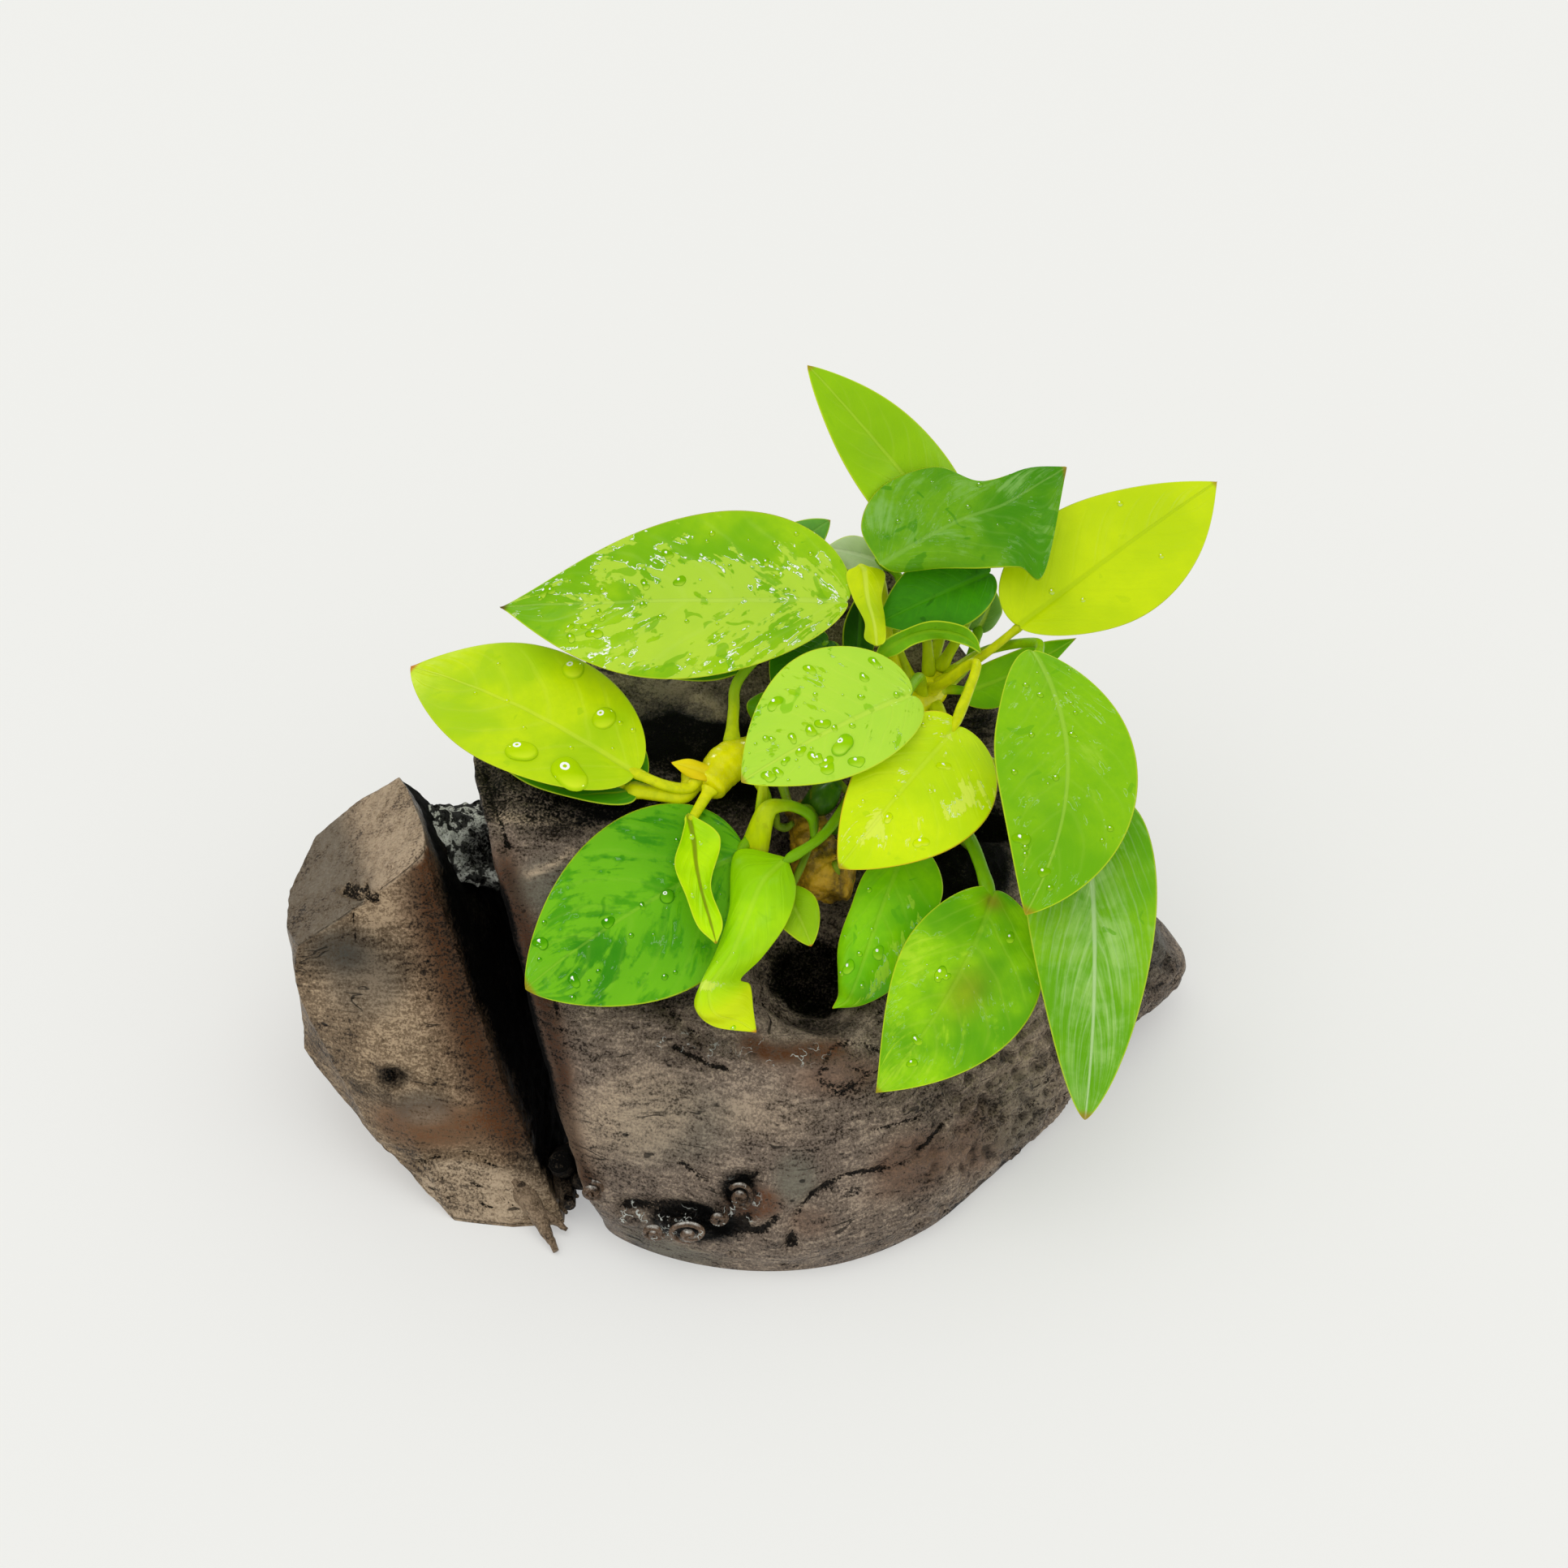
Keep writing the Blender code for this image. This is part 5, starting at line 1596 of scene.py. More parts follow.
FLAT_BLADES = {
    "upper_left": FlatBlade((18.5, 20.5, 82.5), (-40.5, 27.5, 75.5), (0, -0.34, 0.94), 33.5, 0.2,
        ((-0.5, 10.5, 67), (0.5, 13, 72), (8, 17.5, 78)), bow=4, sweep=-1.9, belly=0.38, slant=-0.06,
        skew=0.03, point=1.13, lobe=3),
    "left_yellow": FlatBlade((-17, -2, 64), (-56, 23, 66), (0, -0.2, 1), 27, 0.03,
        ((-8, -2.2, 60.8), (-12, -3, 62.2)), bow=3, belly=0.42, stalk=1.0),
    "left_lower": FlatBlade((-17.3, -2.5, 60.4), (-44, 9, 62), (0, -0.15, 1), 20, 0.02,
        ((-9, -2.4, 59.5), (-13, -2.6, 60)), lobe=3.5, skew=0.3, stalk=1.5),
    "front_left": FlatBlade((1.5, -11, 54), (-34.5, -32.5, 43.5), (-0.2, -0.5, 0.8), 32.5, 0.24,
        ((5, -3, 57.5),), bow=4, sweep=0.2, belly=0.39, slant=-0.05, skew=-0.04, point=0.78, fold=3,
        wave=0.2),
    "front_small": FlatBlade((8, -17, 51.5), (12.5, -26.5, 47.5), (0.2, -0.6, 0.8), 8, 0.33,
        ((9, -4, 58.5), (12.5, -4.5, 58), (13, -6.5, 54)), stalk=0.7),
    "centre": FlatBlade((29, 5, 75), (1, -11, 70), (0, -0.5, 0.86), 23, 0.78, ((31, 18, 68),), bow=3,
        lobe=4, skew=0.2),
    "centre_yellow": FlatBlade((37, 4, 69), (17, -21, 60), (0.1, -0.5, 0.85), 23, 0.81,
        ((35.5, 19, 66), (40.5, 15.5, 73)), bow=3, lobe=3, skew=-0.22),
    "right": FlatBlade((49.5, 10.5, 80), (47, -32, 60), (0.1, -0.6, 0.8), 24, 0.97,
        ((43, 28, 65.5), (50.5, 17.5, 76)), bow=4, sweep=-5.6, lobe=3, skew=0.03, belly=0.48, slant=-0.04,
        point=0.9),
    "right_lower": FlatBlade((58, -8, 62), (57, -51, 32), (0.1, -0.75, 0.65), 22.5, 0.8,
        ((38, 15, 56), (47, 6, 57), (55, -1, 61)), bow=3, sweep=-1, skew=0.05, belly=0.24, point=0.72),
    "front_right": FlatBlade((43, -18, 52), (23, -45.5, 32.5), (0, -0.7, 0.7), 24, 0.72,
        ((35, 2, 55), (39.5, -10, 55)), bow=3, sweep=-2, skew=-0.12, belly=0.4, point=1.05, stalk=1.2),
    "top": FlatBlade((39.5, 37, 80), (12, 55.5, 106), (0.2, -0.6, 0.8), 17, 0.98, ((36.5, 36, 68),), bow=3,
        sweep=-0.7, skew=-0.04, belly=0.36, slant=0.05),
    "upper_shaded": FlatBlade((43, 30, 81), (24, 22, 76.5), (0, -0.6, 0.8), 14, 1.0, ((39.5, 28.5, 72),)),
    "right_yellow": FlatBlade((48, 22, 76), (83, 49, 86), (0.1, -0.5, 0.85), 24, 0.88, ((42, 22.5, 69),),
        bow=2, belly=0.38, slant=0.07, point=1.0),
    "back_left": FlatBlade((3, 34, 77), (16, 42, 83), (0, -0.5, 0.86), 9, 0.47,
        ((11.5, 24, 66), (6, 33, 74)), fused=True),
    "back_pale": FlatBlade((25, 38, 77), (15, 38, 80), (0, -0.5, 0.86), 7, 0.78,
        ((27, 30, 68), (28, 37, 74)), fused=True),
    "shaded_left": FlatBlade((15.5, 23.5, 71.5), (6, 15, 68), (0, -0.4, 0.9), 12, 0.57,
        ((17, 20, 64), (17, 24, 69)), fused=True),
    "shaded_small": FlatBlade((4.5, 12.5, 62.8), (6, 16, 66.5), (-0.2, -1, 0.4), 7, 0.28, fused=True),
    "under_upper_left": FlatBlade((6, 26, 71.5), (-14, 16, 70), (0, -0.4, 0.9), 12, 0.4,
        ((8, 20, 65), (8, 26, 69)), fused=True),
    "shaded_centre": FlatBlade((20.5, 24, 65), (21, 30, 77), (0.2, -1, 0.4), 6, 0.65, (), fused=True),
    "back_right": FlatBlade((41.5, 33, 66), (44, 32, 76), (0.2, -1, 0.3), 6, 0.92, ((40, 30, 61),),
        fused=True),
}

DRAPED_BLADES = {
    "upper_folded": DrapedBlade((
        (24, 23.5, 88),
        ((21, 31.5, 90), (27.5, 25.5, 89), (27, 24, 86)),
        ((24.5, 38.5, 93), (33, 28, 91), (34, 25, 86)),
        ((33.5, 41.5, 95), (38.5, 31, 92), (40.5, 25, 86)),
        ((41, 37.5, 95), (45, 33.5, 93), (47.5, 24, 87)),
        ((48.5, 38.5, 96), (50.5, 36, 95), (51.5, 21, 88)),
        (56, 40, 96),
    ), 0.93, ((32, 30, 72), (28.5, 32, 82))),
    "front_folded": DrapedBlade((
        (8.5, -13, 55),
        ((0, -11.5, 55), (4.5, -21, 57), (10, -19.5, 54)),
        ((-1, -24.5, 54), (2, -28.5, 56), (8.5, -26.5, 53)),
        ((-3, -32, 52), (-0.5, -35, 54), (4.5, -31.5, 50)),
        ((-5.5, -36.5, 49), (-4, -38, 50), (1, -33.5, 47)),
        ((-6.5, -39, 46), (-3.5, -41, 47), (2.5, -33, 45)),
        ((-3.5, -40.5, 43), (0, -39, 43), (3, -36, 42)),
        (3.5, -39, 40),
    ), 0.56, ((20, 2, 58), (15, -9, 57))),
    "front_middle": DrapedBlade((
        (28.5, -7.5, 54),
        ((22, -12.5, 52), (27, -13, 53), (33, -10, 52)),
        ((19, -19, 49), (24.5, -19, 50), (34.5, -15.5, 49)),
        ((17, -23.5, 45), (22, -25, 46), (31, -22, 45)),
        ((17, -27.5, 41), (20, -29, 42), (27, -27.5, 40)),
        ((17, -28.5, 38), (18.5, -29.5, 38), (21.5, -29.5, 37)),
        (16, -29.5, 36),
    ), 0.64, ((27, 4, 59),)),
    "young_curled": DrapedBlade((
        (-8, -7.5, 60),
        ((-9, -12.5, 59), (-7, -11.5, 57.5), (-3.5, -11.5, 60)),
        ((-10, -19, 59), (-6.5, -17, 57), (-2.5, -14.5, 59)),
        ((-8, -26, 58.5), (-5.5, -23, 56.5), (-4, -23.5, 58.5)),
        ((-6, -31.5, 57), (-4, -29.5, 56), (-2, -30.5, 57)),
        (-3, -33.5, 55),
    ), 0.0, ()),
    "yellow_small": DrapedBlade((
        (21, 26, 86),
        ((18.5, 25, 85), (21.5, 25.5, 85), (25, 26.5, 84)),
        ((19.5, 21, 83), (22, 21, 83), (24.5, 22.5, 82)),
        ((21.5, 17, 81), (23, 17, 81), (25, 19, 80)),
        ((21.5, 15, 79), (23.5, 14.5, 79), (25, 14.5, 79)),
        (23.5, 13.5, 78.5),
    ), 0.74, ((26, 26, 70), (24.5, 29.5, 80))),
    "arched": DrapedBlade((
        (23, 15, 74),
        ((24.5, 16.5, 77), (25.5, 16, 76), (27, 15.5, 75)),
        ((28.5, 17.5, 79), (29, 18, 77), (30, 17, 76)),
        ((33, 18.5, 80), (33, 18.5, 78), (34, 18.5, 76)),
        ((38, 18.5, 79), (37.5, 18.5, 77), (37, 17.5, 76)),
        ((40.5, 19, 76), (40, 18.5, 75), (39.5, 17.5, 75)),
        (41.5, 18, 73),
    ), 0.7, ((26, 19, 66),)),
    "right_back": DrapedBlade((
        (38.5, 23.5, 59.5),
        ((41, 26.5, 62.5), (41.5, 24.5, 60), (40.5, 23, 57)),
        ((47, 28, 65), (47, 25.5, 62), (45.5, 23, 57)),
        ((52.5, 28.5, 67), (52.5, 26.5, 65), (51.5, 24, 62)),
        (58.5, 29, 67.5),
    ), 0.88, (), fused=True),
}

BLADES = FLAT_BLADES | DRAPED_BLADES
SCALE_LOOK = LeafLook(
    Slot.YELLOW, "#f4e606", "#e8d004", margin="#f0d410", tip="#e0601a", tip_dot=0.9,
    midrib=0.1, veins=0.0)

LOOKS = {
    "upper_left": LeafLook(
        Slot.GREEN, "#a0cf08", "#76b402", film="#bede46", wet=0.5, blotch=0.5, painted_glints=1.0, veins=0.08,
        midrib=0.2, vein="#c4e070", pairs=7, tip="#5a3010", tip_dot=0.9, beads=26, ragged_beads=14,
        films=(Stain(-0.2, 0.45, 0.6, 0.28, 0.35), Stain(0.0, 0.08, 0.9, 0.1, 0.3),
            Stain(0.85, 0.3, 0.25, 0.3, -0.5), Stain(-0.2, 0.87, 0.8, 0.12, -0.4))),
    "left_yellow": LeafLook(
        Slot.YELLOW, "#c8e402", "#aad202", film="#d8ee30", veins=0.12, midrib=0.3, vein="#d6e84a", pairs=6,
        sweep=0.35, tip="#c8681c", tip_dot=0.9, beads=8,
        drops=(Drop(0.8, 0.42, 2.0, 0.8), Drop(0.48, 0.21, 2.1, 0.9), Drop(-0.62, 0.36, 2.5, 0.9, 1.2),
            Drop(-0.72, 0.18, 3.0, 0.9, 1.6, 0.1))),
    "left_lower": LeafLook(
        Slot.GREEN, "#4f9e04", "#3a8403", vein="#e8e80c", midrib=0.9, wet=0.1, stalk="yellow", veins=0.25),
    "front_left": LeafLook(
        Slot.DARK, "#55a804", "#338a03", film="#7cc420", wet=0.9, soft=0.1, blotch=0.15, painted_glints=0.12,
        veins=0.12, vein="#9ccc3c", midrib=0.25, pairs=6, sweep=0.38, beads=14, ragged_beads=5,
        drops=(Drop(-0.07, 0.37, 1.3, 0.6),), stain="#358c05",
        stains=(Stain(0.55, 0.2, 0.4, 0.16, 0.6), Stain(-0.5, 0.4, 0.4, 0.25, 0.3)),
        films=(Stain(0.6, 0.73, 0.22, 0.1, -0.5), Stain(-0.12, 0.68, 0.12, 0.1, -0.45),
            Stain(-0.27, 0.84, 0.15, 0.06, -0.4), Stain(-0.35, 0.6, 0.12, 0.12, -0.45),
            Stain(0.15, 0.37, 0.15, 0.1, -0.4))),
    "front_small": LeafLook(
        Slot.YELLOW, "#a8d206", "#8abc03", veins=0.05, midrib=0.15, tip="#c87a1c", tip_dot=0.9,
        stalk="dim"),
    "centre": LeafLook(
        Slot.GREEN, "#9ed206", "#80c403", film="#bce64c", wet=0.92, blotch=0.3, painted_glints=0.35, veins=0.08,
        midrib=0.25, beads=16, ragged_beads=20, drops=(Drop(-0.4, 0.48, 1.7, 0.8, 1.6, 0.15),)),
    "centre_yellow": LeafLook(
        Slot.YELLOW, "#d3ee02", "#bce002", film="#e2f25a", wet=0.2, painted_glints=0.5, margin="#dfae20",
        veins=0.05, midrib=0.15, beads=6, ragged_beads=3,
        films=(Stain(-0.15, 0.76, 0.35, 0.1, 0.5), Stain(-0.65, 0.35, 0.2, 0.2, 0.5))),
    "right": LeafLook(
        Slot.GREEN, "#88c204", "#6caf02", film="#9ccb34", wet=0.4, soft=0.14, blotch=0.4, painted_glints=0.15,
        vein="#a9d24a", midrib=0.45, beads=18, ragged_beads=3),
    "right_lower": LeafLook(
        Slot.GREEN, "#84c010", "#64aa03", film="#b0d87c", wet=0.75, soft=0.3, blotch=0.2, painted_glints=0.0,
        veins=0.25, vein="#b8d896", midrib=0.8, pairs=9, sweep=0.6, margin="#c6da30",
        films=(Stain(0.0, 0.45, 0.7, 0.4, 0.3), Stain(-0.9, 0.3, 0.3, 0.3, -0.3))),
    "front_right": LeafLook(
        Slot.GREEN, "#9cd806", "#60a804", film="#b2e030", wet=0.35, soft=0.16, blotch=0.1, painted_glints=0.1,
        veins=0.08, midrib=0.08, stain="#8a8416", beads=6, ragged_beads=5,
        films=(Stain(0.75, 0.42, 0.3, 0.12, 0.4), Stain(0.0, 0.85, 0.8, 0.2, 0.4)),
        stains=(Stain(0.0, 0.05, 0.35, 0.04, 0.85), Stain(-0.17, 0.45, 0.25, 0.11, 0.5))),
    "front_middle": LeafLook(
        Slot.DARK, "#92da06", "#60b804", film="#aee23c", wet=0.2, painted_glints=0.3, blotch=0.4, veins=0.05,
        midrib=0.1, beads=6, ragged_beads=4, films=(Stain(0.6, 0.55, 0.3, 0.3, 0.4),)),
    "top": LeafLook(Slot.GREEN, "#93c502", "#88bb01", veins=0.05, midrib=0.15),
    "upper_folded": LeafLook(
        Slot.DARK, "#70aa10", "#448c03", film="#86b65c", wet=0.5, soft=0.16, painted_glints=0.08, blotch=0.6,
        vein="#93bf5a", midrib=0.3, pairs=7, sweep=0.5, under="#8fb840", beads=6,
        films=(Stain(-0.32, 0.75, 0.25, 0.08, 0.6), Stain(-0.6, 0.3, 0.3, 0.15, 0.3))),
    # Its darker greens are painted shade from the leaf above it.
    "upper_shaded": LeafLook(
        Slot.DARK, "#409403", "#286c02", vein="#509e08", blotch=0.5, under="#3c8c03", veins=0.25),
    "right_yellow": LeafLook(
        Slot.YELLOW, "#cae201", "#bcd801", veins=0.04, midrib=0.3, vein="#9fbf06", beads=4),
    "yellow_small": LeafLook(Slot.YELLOW, "#cce002", "#a8c802", under="#d2e204"),
    "young_curled": LeafLook(
        Slot.YELLOW, "#caf802", "#aae003", under="#c4f404", veins=0.05, vein="#7f8a0c", midrib=0.85,
        beads=4),
    "front_folded": LeafLook(
        Slot.YELLOW, "#b2ea03", "#98d603", under="#c8e606", film="#dcf068", painted_glints=0.3, veins=0.03,
        midrib=0.12, tip="#d08a1c", tip_dot=0.9, beads=3, stain="#d6ee08",
        stains=(Stain(0, 0.86, 5, 0.2, 1.5),), films=(Stain(-0.3, 0.57, 0.9, 0.035, 1.2),),
        stalk="green"),
    "right_back": LeafLook(Slot.GREEN, "#8ccc06", "#6ab003", vein="#a6d62a", wet=0.1, margin="#c8d828"),
    "arched": LeafLook(Slot.GREEN, "#78b806", "#4e8a03", vein="#8abb0c", under="#4f8603"),
    "back_left": LeafLook(Slot.DARK, "#6aa83c", "#4e8c36", vein="#7cb04a", wet=0.2, veins=0.25),
    "back_pale": LeafLook(Slot.DARK, "#cfe0b4", "#aec78c", vein="#d8e4c0", wet=0.2),
    # Its darker greens are painted shade among the leaves round it.
    "shaded_left": LeafLook(Slot.DARK, "#468c04", "#2c6a03", vein="#5c9c10"),
    "shaded_small": LeafLook(Slot.GREEN, "#7fb808", "#5fa004", wet=0.1),
    "under_upper_left": LeafLook(Slot.GREEN, "#5a9c06", "#3f8004"),
    # Its darker greens are painted shade among the leaves round it.
    "shaded_centre": LeafLook(Slot.DARK, "#347403", "#205003", vein="#4c8c08"),
    "back_right": LeafLook(Slot.GREEN, "#7fae4c", "#6a9a3c", wet=0.1),
}

# The colour of a painted highlight, and the power by which a side vein bends forward.
PAINTED_GLINT = "#fbfdf6"
VEIN_BEND = 1.3


def leaf_veins_group() -> Tree:
    """Build the leaf's own pattern from its marks: midrib, side veins, margin and their height.

    A side vein is where along - sweep * across^1.3 hits one of the evenly spread values.

    Returns:
        The group.
    """
    graph, (pairs, sweep) = new_group("leaf_veins", ("Pairs", "Sweep"),
                                      ("Midrib", "Veins", "Margin", "Tip", "Height"))
    across, along = graph.size(graph.mark("across")), graph.mark("along")
    off, inset = graph.size(graph.mark("off")), graph.mark("inset")
    wide = graph.scaled(along, 0.0, 1.0, 0.75, 0.22)
    midrib = graph.step(off, wide, graph.times(wide, 0.3))
    wobble = graph.times(graph.noise(graph.place(), 90.0, 2.0), 0.12)
    lean = graph.times(graph.math("POWER", across, VEIN_BEND), sweep)
    phase = graph.times(graph.less(graph.math("ADD", along, wobble), lean), pairs)
    near = graph.size(graph.less(graph.math("FRACT", phase), 0.5))
    veins = graph.step(near, 0.13, 0.0)
    fine = graph.math("FRACT", graph.times(phase, 4.0))
    fine = graph.step(graph.size(graph.less(fine, 0.5)), 0.3, 0.0)
    veins = graph.math("MAXIMUM", veins, graph.times(fine, 0.15))
    veins = graph.times(veins, graph.times(graph.step(inset, 0.0, 3.5), graph.step(off, 0.0, 0.8)))
    height = graph.less(1.0, graph.math("ADD", midrib, graph.times(veins, 0.5)))
    return graph.give(midrib, veins, graph.step(inset, 0.32, 0.08), graph.step(along, 0.965, 0.99), height)


def wet_film_group() -> Tree:
    """Build the wet film on a blade: where it lies, where it parts, and painted highlights on its broken
    rims.

    Its patches are drawn out along the side veins, so they are laid out by the blade's own marks.

    Returns:
        The group.
    """
    graph, given = new_group("wet_film", ("Cover", "Soft", "Blotch", "PaintedGlints", "Pairs", "Sweep"),
                             ("Film", "Blotch", "PaintedGlint", "Height"))
    cover, soft, blotched, painted_glints, pairs, sweep = given
    across = graph.mark("across")
    lean = graph.times(graph.size(across), sweep)
    ahead = graph.times(graph.less(graph.mark("along"), lean), pairs)
    laid = graph.add("ShaderNodeCombineXYZ", {0: ahead, 1: across}).outputs[0]
    ragged = graph.noise(graph.place(), 170.0, 4.0, 0.65, 0.4)
    field_of = graph.blend(0.5, graph.noise(laid, 2.4, 3.0, 0.6, 0.4), ragged)
    cover = graph.math("MINIMUM", graph.math("MAXIMUM", cover, 0.0), 1.0)
    edge = graph.scaled(cover, 0.0, 1.0, 0.66, 0.38)
    covered = graph.step(cover, 0.02, 0.2)
    film = graph.times(graph.step(field_of, edge, graph.math("ADD", edge, soft)), covered)
    spots = graph.noise(graph.place(), 230.0, 2.0, 0.5, 0.8)
    lowered = graph.times(blotched, 0.2)
    blotch = graph.step(spots, graph.less(0.74, lowered), graph.less(0.77, lowered))
    blotch = graph.times(blotch, graph.step(blotched, 0.0, 0.1))
    # Painted highlights: thin broken lines along the film's edge.
    rim = graph.size(graph.less(field_of, edge))
    broken = graph.noise(graph.place(), 380.0, 2.0)
    painted_glint = graph.times(graph.step(rim, 0.009, 0.004), graph.step(broken, 0.52, 0.55))
    return graph.give(film, blotch, graph.times(graph.times(painted_glint, painted_glints), covered), film)


@dataclass(frozen=True)
class LeafFinish:
    """The wet, glossy skin of a leaf, made for one look from the shared veins and film."""

    veins: Tree
    film: Tree
    relief: float = 0.0003

    def make(self, name: str, look: LeafLook) -> Material:
        """Build the material of one leaf.

        Args:
            name: the material's name.
            look: the leaf's colours and shares.

        Returns:
            The new material.
        """
        made, graph, shader = new_material(name)
        lines = graph.use(self.veins, {"Pairs": look.pairs, "Sweep": look.sweep})
        wet = graph.use(self.film, {"Cover": graph.mark("wet"), "Soft": look.soft, "Blotch": look.blotch,
                                    "PaintedGlints": look.painted_glints, "Pairs": look.pairs, "Sweep": look.sweep})
        bead, painted_light_side = graph.mark("bead"), graph.mark("painted_light_side")
        on_bead = graph.step(bead, 0.05, 0.15)
        cloud = graph.noise(graph.place(), 60.0, 3.0, 0.6)
        grain = graph.noise(graph.place(), 900.0, 2.0, 0.6)
        veins, midrib, margin, tip = (lines.outputs[name] for name in ("Veins", "Midrib", "Margin", "Tip"))
        # Coats: tone; the film's painted sheen; blotches, veins, stains, midrib; painted highlights; beads'
        # painted shading.
        colour = graph.coats(look.upper, (
            (graph.step(cloud, 0.36, 0.64), look.shade),
            (graph.scaled(grain, 0.35, 0.65, 0.0, 0.22), look.shade),
            (graph.times(wet.outputs["Film"], 0.7), look.film),
            (graph.times(wet.outputs["Blotch"], 0.7), look.shade),
            (graph.times(veins, look.veins), look.vein),
            (graph.math("MINIMUM", graph.mark("stain"), 1.0), look.stain),
            (graph.times(midrib, look.midrib), look.vein),
            (graph.times(wet.outputs["PaintedGlint"], 0.9), PAINTED_GLINT),
            (graph.scaled(painted_light_side, 0.15, 0.9, 0.0, 0.8), look.film),
            (graph.scaled(painted_light_side, -0.1, -0.9, 0.0, 0.75), look.shade),
            # A darker rim painted on each bead.
            (graph.step(bead, 0.84, 0.97, 0.0, 0.8), look.shade),
            (graph.step(graph.mark("painted_spark"), 0.35, 0.6), PAINTED_GLINT),
        ))
        beneath = graph.coats(look.under, ((graph.times(midrib, 0.6), look.vein),))
        colour = graph.mix(graph.step(graph.mark("side"), 0.4, 0.6), beneath, colour)
        colour = graph.coats(colour, ((graph.times(margin, 0.7), look.margin),
                                      (graph.times(tip, look.tip_dot), look.tip)))
        rough = graph.blend(wet.outputs["Film"], graph.scaled(grain, 0.3, 0.7, 0.32, 0.42), 0.16)
        rough = graph.blend(on_bead, rough, 0.04)
        height = graph.math("ADD", graph.times(lines.outputs["Height"], 0.5),
                            graph.times(wet.outputs["Height"], 0.35))
        height = graph.math("ADD", height, graph.times(grain, 0.12))
        graph.dress(shader, colour, rough, height, self.relief, 0.6, 0.14, (0.06, (0.8, 1.0, 0.1), 0.0012))
        return made


@dataclass(frozen=True)
class Leaf:
    """One leaf as a piece: its blade's shape, its look and the fineness of its grid."""

    name: str
    blade: Blade
    look: LeafLook
    thickness: float = 0.55
    groove: float = 0.22
    furrow: float = 0.05
    rib: float = 0.5
    waves: float = 0.22
    seed: int = 40
    rows: int = 110
    columns: int = 49
    small_share: float = 0.55
    small_length: float = 24.0
    bead_rows: int = 7
    bead_sides: int = 22
    big_bead: float = 1.2
    big_rows: int = 20
    big_sides: int = 48
    bead_sink: float = 0.06
    # Directions to the beads' side painted light and to their painted highlight.
    painted_bright_side: Point = (0.15, -1.0, -0.2)
    painted_spark_side: Point = (-0.6, 0.6, 0.5)

    def shells(self) -> list[Shell]:
        """Wrap upper and lower skins round the blade's middle surface, and set the beads on the upper one.

        The skins lie half the thickness off it, which thins towards the margin. The upper one has a groove
        along the midrib, shallow side-vein furrows and soft waves. The lower one has the midrib's rib.

        Returns:
            The blade, and then its beads.
        """
        rows, columns = self.rows, self.columns
        sheet, _ = self.blade.sheet(9, np.linspace(-1, 1, 3))
        if np.linalg.norm(sheet[-1, 1] - sheet[0, 1]) < self.small_length:
            rows, columns = int(rows * self.small_share), int(columns * self.small_share) | 1
        across = np.sin(np.linspace(-1.0, 1.0, columns) * math.pi / 2 * 0.8) / math.sin(math.pi / 2 * 0.8)
        sheet, normals = self.blade.sheet(rows, across)
        t = np.linspace(0.0, 1.0, rows)
        if isinstance(self.blade, FlatBlade):
            t = (1 - np.cos(np.linspace(0.0, math.pi, rows))) / 2
        middle = columns // 2
        steps = np.linalg.norm(np.diff(sheet, axis=1), axis=-1)
        ruler = np.concatenate([np.zeros((rows, 1)), np.cumsum(steps, axis=1)], axis=1)
        off = ruler - ruler[:, middle:middle + 1]
        inset = np.minimum(ruler, ruler[:, -1:] - ruler)
        a = np.broadcast_to(across[None], off.shape)
        along = np.broadcast_to(t[:, None], off.shape)
        half = self.thickness / 2 * (1 - 0.75 * np.abs(a) ** 1.5)
        phase = (along - self.look.sweep * np.abs(a) ** VEIN_BEND) * self.look.pairs
        furrow = self.furrow * np.cos(2 * math.pi * (phase - 0.5)) * smooth_step(0.3, 3.0, inset)
        groove = self.groove * (1.05 - along) * np.exp(-(off / 0.7) ** 2)
        noise = Noise(self.seed + len(self.name))
        waves = self.waves * noise.layered(sheet / 9.0, 2) * smooth_step(0.2, 4.0, inset)
        upper = half - furrow - groove
        rib = self.rib * (1.1 - along) * np.exp(-(off / 0.8) ** 2) * smooth_step(0.0, 0.05, along)
        lower = half + rib
        inner = (slice(1, -1), slice(1, -1))
        top = (sheet + normals * (waves + upper)[..., None])[inner]
        bottom = (sheet + normals * (waves - lower)[..., None])[inner]
        rings = np.concatenate([sheet[1:-1, :1], top, sheet[1:-1, -1:], bottom[:, ::-1]], axis=1)

        def ringed(values: Array, low: Array | None = None) -> Array:
            """Lay out values of the sheet as the rings are: margin, upper, margin, lower."""
            under = values if low is None else low
            return np.concatenate([values[1:-1, :1], values[inner], values[1:-1, -1:],
                                   under[inner][:, ::-1]], axis=1)

        look = self.look
        stain = sum((part.share(a, along) for part in look.stains), np.zeros_like(off))
        wet = look.wet + sum((part.share(a, along) for part in look.films), np.zeros_like(off))
        zero = np.zeros_like(off)
        marks = {"across": ringed(a), "along": ringed(along), "off": ringed(off), "inset": ringed(inset),
                 "side": ringed(zero + 1, zero), "stain": ringed(stain, zero), "wet": ringed(wet, zero),
                 "bead": ringed(zero), "painted_light_side": ringed(zero), "painted_spark": ringed(zero)}
        skin = Shell(rings, sheet[0, 0], sheet[-1, 0], marks)
        chance = np.random.default_rng(len(self.name) + look.beads)
        upper_skin = (top, normals[inner], a[inner], along[inner])
        return [skin, *(self.bead(drop, upper_skin, chance) for drop in self.drops(chance))]

